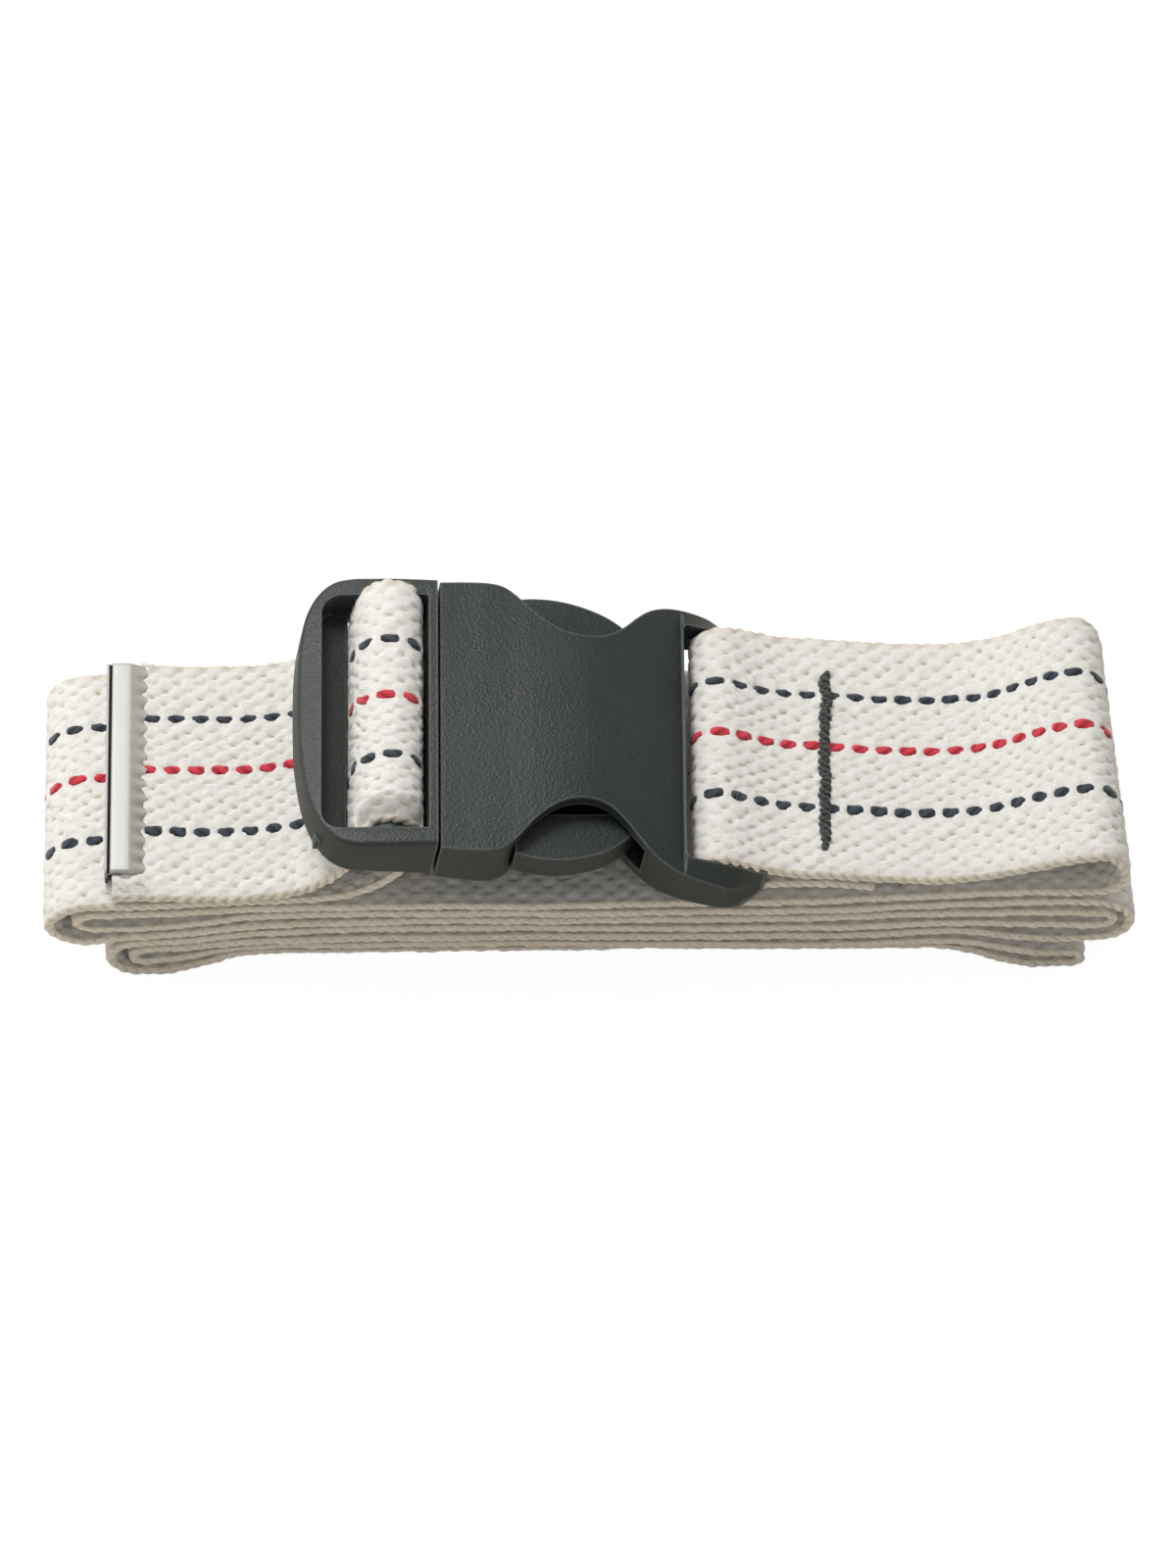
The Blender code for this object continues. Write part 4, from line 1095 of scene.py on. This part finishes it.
def work_object(name, mesh):
    obj = bpy.data.objects.new(name, mesh)
    WORK.objects.link(obj)
    return obj


def evaluated_mesh(obj):
    bpy.context.view_layer.update()
    depsgraph = bpy.context.evaluated_depsgraph_get()
    return bpy.data.meshes.new_from_object(obj.evaluated_get(depsgraph))


def plate(name, outline, low, high):
    """The outline, in along and across, filled and made solid from low to high."""
    data = bpy.data.curves.new(name, "CURVE")
    data.dimensions = "2D"
    data.fill_mode = "BOTH"
    data.extrude = (high - low) / 2 * MM
    line = data.splines.new("POLY")
    line.points.add(len(outline) - 1)
    for point, (x, y) in zip(line.points, outline):
        point.co = (x * MM, y * MM, 0.0, 1.0)
    line.use_cyclic_u = True
    curve = work_object(name + "_curve", data)
    mesh = evaluated_mesh(curve)
    bpy.data.objects.remove(curve, do_unlink=True)
    bm = bmesh.new()
    bm.from_mesh(mesh)
    bmesh.ops.remove_doubles(bm, verts=bm.verts, dist=1e-6)
    bmesh.ops.translate(bm, verts=bm.verts, vec=(0, 0, (low + high) / 2 * MM))
    bmesh.ops.recalc_face_normals(bm, faces=bm.faces)
    bm.to_mesh(mesh)
    bm.free()
    return work_object(name, mesh)


def side_plate(name, outline, half_width):
    """The outline, in along and up, made solid across the buckle."""
    obj = plate(name, outline, -half_width, half_width)
    obj.data.transform(Matrix.Rotation(math.pi / 2, 4, "X"))
    return obj


def box(name, *spans):
    """A block from its (low, high) spans along, across and up."""
    bm = bmesh.new()
    bmesh.ops.create_cube(bm, size=1.0)
    bmesh.ops.scale(bm, verts=bm.verts, vec=[(high - low) * MM for low, high in spans])
    bmesh.ops.translate(bm, verts=bm.verts, vec=[(low + high) / 2 * MM for low, high in spans])
    mesh = bpy.data.meshes.new(name)
    bm.to_mesh(mesh)
    bm.free()
    return work_object(name, mesh)


def boolean(obj, tool, operation="DIFFERENCE"):
    modifier = obj.modifiers.new("b", "BOOLEAN")
    modifier.operation = operation
    modifier.solver = "EXACT"
    modifier.object = tool
    mesh = evaluated_mesh(obj)
    obj.modifiers.clear()
    obj.data = mesh
    bpy.data.objects.remove(tool, do_unlink=True)


def mirrored(far, near=None):
    """A closed outline from its far half, and its near half if that differs."""
    near = near or far
    return list(far) + [(along, -across) for along, across in near[::-1] if across > 1e-6]


def middle(edge):
    return (edge.verts[0].co + edge.verts[1].co) / 2 / MM


def above(edge, height):
    return all(vert.co.z > height * MM for vert in edge.verts)


def below(edge, height):
    return all(vert.co.z < height * MM for vert in edge.verts)


def at_top(edge):
    return above(edge, NOMINAL_H - 0.01)


def at_base(edge):
    return below(edge, 0.01)


def rounded_edges(obj, pick, width, segments):
    """Bevel the edges that pick accepts."""
    bm = bmesh.new()
    bm.from_mesh(obj.data)
    bmesh.ops.dissolve_limit(bm, angle_limit=math.radians(0.3), verts=bm.verts, edges=bm.edges)
    edges = [edge for edge in bm.edges if pick(edge)]
    bmesh.ops.bevel(bm, geom=edges, offset=width * MM, offset_type="OFFSET", segments=segments,
                    profile=0.5, affect="EDGES", clamp_overlap=True)
    bmesh.ops.remove_doubles(bm, verts=bm.verts, dist=2e-6)
    bm.to_mesh(obj.data)
    bm.free()


def crowned(obj, start, end, step=1.2):
    """Slice the shell along its length and scale its height to the crown."""
    bm = bmesh.new()
    bm.from_mesh(obj.data)
    count = int((end - start) / step)
    for k in range(1, count):
        cut = (start + (end - start) * k / count) * MM
        bmesh.ops.bisect_plane(bm, geom=list(bm.verts) + list(bm.edges) + list(bm.faces),
                               dist=2e-6, plane_co=(cut, 0, 0), plane_no=(1, 0, 0))
    for vert in bm.verts:
        vert.co.z *= crown(vert.co.x / MM) / NOMINAL_H
    bmesh.ops.triangulate(bm, faces=bm.faces)
    bm.to_mesh(obj.data)
    bm.free()


def finished(obj, name, body, replaced):
    """Put the part in place in the scene and give it its material."""
    mesh = obj.data
    mesh.transform(BUCKLE)
    mesh.name = name
    obj.name = name
    mesh.materials.clear()
    mesh.materials.append(ACETAL)
    for polygon in mesh.polygons:
        polygon.material_index = 0
    mesh.shade_smooth()
    mesh.set_sharp_from_angle(angle=math.radians(38))
    WORK.objects.unlink(obj)
    bpy.context.scene.collection.objects.link(obj)
    fit(obj, body, replaced)


# ------------------------------------------------------------------ female half
# far half of each outline: along, across
FEMALE_SIDE = [
    (0.3, 29.4), (5.0, 29.6), (9.3, 29.5), (12.0, 28.6), (14.3, 26.4), (16.8, 23.3),
    (19.6, 20.6), (23.0, 18.6), (27.0, 18.0), (30.6, 18.9), (33.6, 21.3), (36.2, 24.3),
    (39.0, 27.0), (42.5, 28.8), (46.5, 29.5), (51.0, 29.5), (54.5, 29.0), (57.6, 27.9),
    (59.8, 26.6), (60.7, 25.75),
]
FEMALE_INNER = [
    (46.0, 25.75), (45.5, 25.4), (45.2, 24.7), (45.2, 18.0), (45.2, 9.0), (45.2, 0.0),
]
CAVITY = [
    (-1.0, 25.9), (THROAT_END, THROAT_HALF), (THROAT_END, 31.5), (35.0, 31.5), (38.2, 24.0),
    (39.6, 20.0), (40.6, 16.0), (40.6, 0.0),
]
OUTLINE_STEP = 0.8
BAR_RAIL_HALF = 27.0  # both crossbars run into the side rails up to here


def end_bar_outline(half_along=2.6, half_up=1.9, parts=20):
    """A squarish ellipse round END_BAR."""
    def squarish(value):
        return math.copysign(abs(value) ** 0.7, value)

    outline = []
    for k in range(parts):
        angle = 2 * math.pi * k / parts
        outline.append((END_BAR[0] + half_along * squarish(math.cos(angle)),
                        END_BAR[1] + half_up * squarish(math.sin(angle))))
    return outline[::-1]


def outer_rim(edge):
    mid = middle(edge)
    if not 0.5 < mid.x < 60.0:
        return False
    return abs(mid.y) > 17.9 and not (mid.x > 45.0 and abs(mid.y) < 26.0)


def shape_wings(obj):
    """Crown the top across as well, and let the side wings droop and draw in to their tips."""
    for vert in obj.data.vertices:
        along, across = vert.co.x / MM, vert.co.y / MM
        vert.co.z *= 1 - 0.12 * min(1.0, abs(across) / 29.5) ** 4
        if along > 36 and abs(across) > 25.6:
            side_share = min(1.0, (abs(across) - 25.6) / 1.2)
            far_droop = 0.009 * max(0.0, along - 44) ** 2 if across > 0 else 0.0
            vert.co.z -= (0.0085 * (along - 36) ** 2 + far_droop) * side_share * MM
            if along > 50:
                vert.co.x -= 0.24 * (along - 50) * side_share * MM


def female_half():
    side = spline(FEMALE_SIDE, OUTLINE_STEP)
    female = plate("female_visual", mirrored(side + FEMALE_INNER), 0.0, NOMINAL_H)
    rounded_edges(female, lambda e: (at_top(e) or at_base(e)) and outer_rim(e),
                  width=1.3, segments=5)
    rounded_edges(female, lambda e: at_top(e) and all(v.co.x < 0.32 * MM for v in e.verts),
                  width=0.55, segments=3)
    boolean(female, plate("cavity", mirrored(CAVITY), PLATE_T, NOMINAL_H - PLATE_T))
    boolean(female, box("turn", (43.4, 45.9), (-SLOT_HALF, SLOT_HALF), (-1.0, 6.3)))
    crowned(female, FEMALE_SIDE[0][0], FEMALE_SIDE[-1][0])
    shape_wings(female)
    boolean(female, side_plate("end_bar", end_bar_outline(), BAR_RAIL_HALF), "UNION")
    finished(female, "female_half_moulded", "belt", "female_shell")


female_half()

# ------------------------------------------------------------------ male half
# outlines of its near and far sides and half outlines of its window and tongue: along, across
MALE_NEAR = [
    (-25.2, 0.0), (-25.0, 7.0), (-24.5, 12.0), (-23.7, 17.0), (-22.6, 21.0), (-21.2, 24.2),
    (-19.5, 26.8), (-17.4, 28.6), (-15.0, 29.5), (-12.0, 29.6), (-8.0, 29.6), (-0.3, 29.4),
]
MALE_FAR = [
    (-25.2, 0.0), (-25.2, 7.0), (-25.0, 13.0), (-24.4, 18.5), (-23.3, 22.9), (-21.5, 26.4),
    (-18.9, 28.8), (-15.5, 29.6), (-12.0, 29.6), (-8.0, 29.6), (-0.3, 29.4),
]
WINDOW = [
    (-21.0, 0.0), (-21.0, 22.2), (-20.75, 23.4), (-20.2, 24.4), (-19.4, 25.15), (-18.5, 25.6),
    (-17.4, 25.75), (-2.2, 25.75), (-1.9, 25.45), (-1.9, 0.0),
]
TONGUE = [(0.5, 7.2), (6.0, 6.2), (30.0, 5.4), (35.0, 4.4), (37.2, 2.4), (37.6, 0.0)]
# sections: along, up
ADJUSTER_BAR = [
    (-12.1, 3.6), (-11.9, 5.6), (-10.9, 7.1), (-8.6, 8.0), (-6.3, 7.6), (-5.2, 6.2),
    (-5.0, 3.4), (-6.2, 2.4), (-11.2, 2.4),
]
INNER_LEDGE = [(-21.6, 0.9), (-21.6, 3.6), (-19.0, 3.1), (-15.8, 2.4), (-15.45, 1.9), (-15.7, 0.9)]


def frame_rim(edge):
    return middle(edge).x < -0.5


def window_rim(edge):
    mid = middle(edge)
    return -21.05 < mid.x < -1.85 and abs(mid.y) < 25.8 and at_top(edge)


def male_half():
    outline = mirrored(spline(MALE_FAR, OUTLINE_STEP), spline(MALE_NEAR, OUTLINE_STEP))
    male = plate("male_visual", outline, 0.0, NOMINAL_H)
    rounded_edges(male, lambda e: at_base(e) and frame_rim(e), width=1.3, segments=5)
    rounded_edges(male, lambda e: at_top(e) and frame_rim(e), width=0.9, segments=4)
    boolean(male, plate("window", mirrored(WINDOW), -2.0, 14.0))
    rounded_edges(male, window_rim, width=0.40, segments=2)
    crowned(male, MALE_FAR[0][0], MALE_FAR[-1][0])
    for tool in (
        lambda: side_plate("adjuster_bar", ADJUSTER_BAR, BAR_RAIL_HALF),
        lambda: side_plate("inner_ledge", INNER_LEDGE, 25.2),
        lambda: box("root_wall", (-1.85, 1.15), (-25.4, 25.4), (2.5, 8.0)),
        lambda: plate("tongue", mirrored(TONGUE), 3.3, 7.4),
    ):
        boolean(male, tool(), "UNION")
    for vert in male.data.vertices:
        if vert.co.x < 0:
            vert.co.z -= CAMBER * (vert.co.x / MM) ** 2 * MM
    finished(male, "male_half_moulded", "male_half", "male_frame")


male_half()

# ------------------------------------------------------------------ latch arms
# along, distance from the middle: inner side, rounded head, then back down the stem
ARM_INNER = [
    (1.45, 16.2), (5.0, 17.0), (11.5, 19.0), (14.5, 20.6), (18.0, 19.4), (24.0, 19.0),
    (30.0, 18.3), (34.5, 17.2), (37.0, 17.3), (37.6, 18.6), (36.6, 20.4),
]
ARM_HEAD = [
    (36.6, 20.4), (34.0, 23.6), (30.5, 26.3), (26.0, 28.2), (21.5, 29.1), (17.0, 29.0),
    (14.0, 28.2),
]
ARM_STEM = [(13.75, 24.3), (11.5, 22.6), (5.0, 20.4), (1.45, 19.8)]


def head_rim(edge):
    mid = middle(edge)
    return abs(mid.y) > 20.0 and mid.x > 14.6


def latch_arm(label, sign):
    outline = []
    for along, across in ARM_INNER + spline(ARM_HEAD, 0.7)[1:] + ARM_STEM:
        if sign > 0 and across >= 21:
            across = 21 + (across - 21) * 0.90  # the far head stands out less
        outline.append((along, sign * across))
    arm = plate("spring_arm_" + label, outline, 2.7, 8.0)
    rounded_edges(arm, lambda e: head_rim(e) and above(e, 7.9), width=1.9, segments=6)
    rounded_edges(arm, lambda e: head_rim(e) and below(e, 2.75), width=0.9, segments=4)
    finished(arm, "spring_arm_" + label, label + "_arm", "latch_arm_" + label)


latch_arm("near", -1)
latch_arm("far", 1)
bpy.data.collections.remove(WORK)


# ------------------------------------------------------------------ stage, in metres
def floor_material():
    """Seen directly, clean white with a trace of contact shadow; its bounce is dim and warm."""
    material, tree, bsdf = new_material("studio_white")
    adjust(bsdf, Base_Color=(0.86, 0.82, 0.74), Roughness=0.95, Specular_IOR_Level=0.0)
    direct = node(tree, "BsdfDiffuse", Color=(0.10, 0.10, 0.10))
    glow = node(tree, "Emission", Strength=0.955)
    seen = node(tree, "AddShader", direct.outputs[0], glow.outputs[0])
    ray = node(tree, "LightPath").outputs["Is Camera Ray"]
    surface = node(tree, "MixShader", ray, bsdf.outputs[0], seen.outputs[0])
    adjust(tree.nodes["Material Output"], Surface=surface.outputs[0])
    return material


def studio_floor():
    bm = bmesh.new()
    bmesh.ops.create_grid(bm, x_segments=40, y_segments=40, size=3.0)
    mesh = bpy.data.meshes.new("studio_floor")
    bm.to_mesh(mesh)
    bm.free()
    floor = linked_object("studio_floor", mesh)
    floor.location = (0, 0, -0.0004)
    mesh.materials.append(floor_material())


def studio_world():
    """Greys that vary a little from near to far, white where it is seen directly."""
    world = bpy.data.worlds.new("studio")
    bpy.context.scene.world = world
    world.use_nodes = True
    tree = world.node_tree
    place = node(tree, "TexCoord").outputs["Generated"]
    y = node(tree, "SeparateXYZ", place).outputs["Y"]
    depth = node(tree, "Math", y, 0.5, 0.5, operation="MULTIPLY_ADD").outputs[0]
    sky = ramp(tree, depth, [
        (0.0, 0.62), (0.38, (0.50, 0.50, 0.495)), (0.60, (0.50, 0.50, 0.495)), (1.0, 0.54)])
    ray = node(tree, "LightPath").outputs["Is Camera Ray"]
    adjust(tree.nodes["Background"], Color=mix(tree, ray, sky, (1.0, 1.0, 1.0)), Strength=1.0)


def area_light(name, place, aim, size, power, colour=(1, 1, 1)):
    light = bpy.data.lights.new(name, "AREA")
    light.shape = "RECTANGLE"
    light.size, light.size_y = size
    light.energy = power
    light.color = colour
    obj = linked_object(name, light)
    obj.location = place
    obj.rotation_euler = (Vector(aim) - Vector(place)).to_track_quat("-Z", "Y").to_euler()


def camera(elevation, azimuth, distance, target):
    """A long lens looking down at the target; azimuth 0 is straight from -y."""
    data = bpy.data.cameras.new("camera")
    obj = bpy.data.objects.new("camera", data)
    back = Vector((math.sin(azimuth) * math.cos(elevation),
                   -math.cos(azimuth) * math.cos(elevation), math.sin(elevation)))
    place = Vector(target) + back * distance
    right = Vector((math.cos(azimuth), math.sin(azimuth), 0))
    upward = back.cross(right)
    rows = [(right[i], upward[i], back[i], place[i]) for i in range(3)]
    obj.matrix_world = Matrix((*rows, (0, 0, 0, 1)))
    data.sensor_fit = "VERTICAL"
    data.sensor_height = 36.0
    data.lens = 316.08
    data.shift_x, data.shift_y = -0.000375, 0.0061875
    data.clip_start, data.clip_end = 0.05, 20.0
    bpy.context.scene.collection.objects.link(obj)
    bpy.context.scene.camera = obj


studio_floor()
studio_world()
area_light("softbox_top", place=(-0.38, 0.52, 1.0), aim=(0, 0, 0), size=(0.5, 0.5), power=11.0,
           colour=(1.0, 0.995, 0.985))
area_light("softbox_left", place=(-1.1, 0.25, 0.50), aim=(0, 0, 0.02), size=(0.5, 0.8), power=2.5)
camera(elevation=math.radians(54.73), azimuth=math.radians(-0.49), distance=2.5,
       target=(0, 0, 0.020))

view = bpy.context.scene.view_settings
view.view_transform = "Standard"
view.look = "None"
view.exposure = 0.0

bpy.context.view_layer.update()
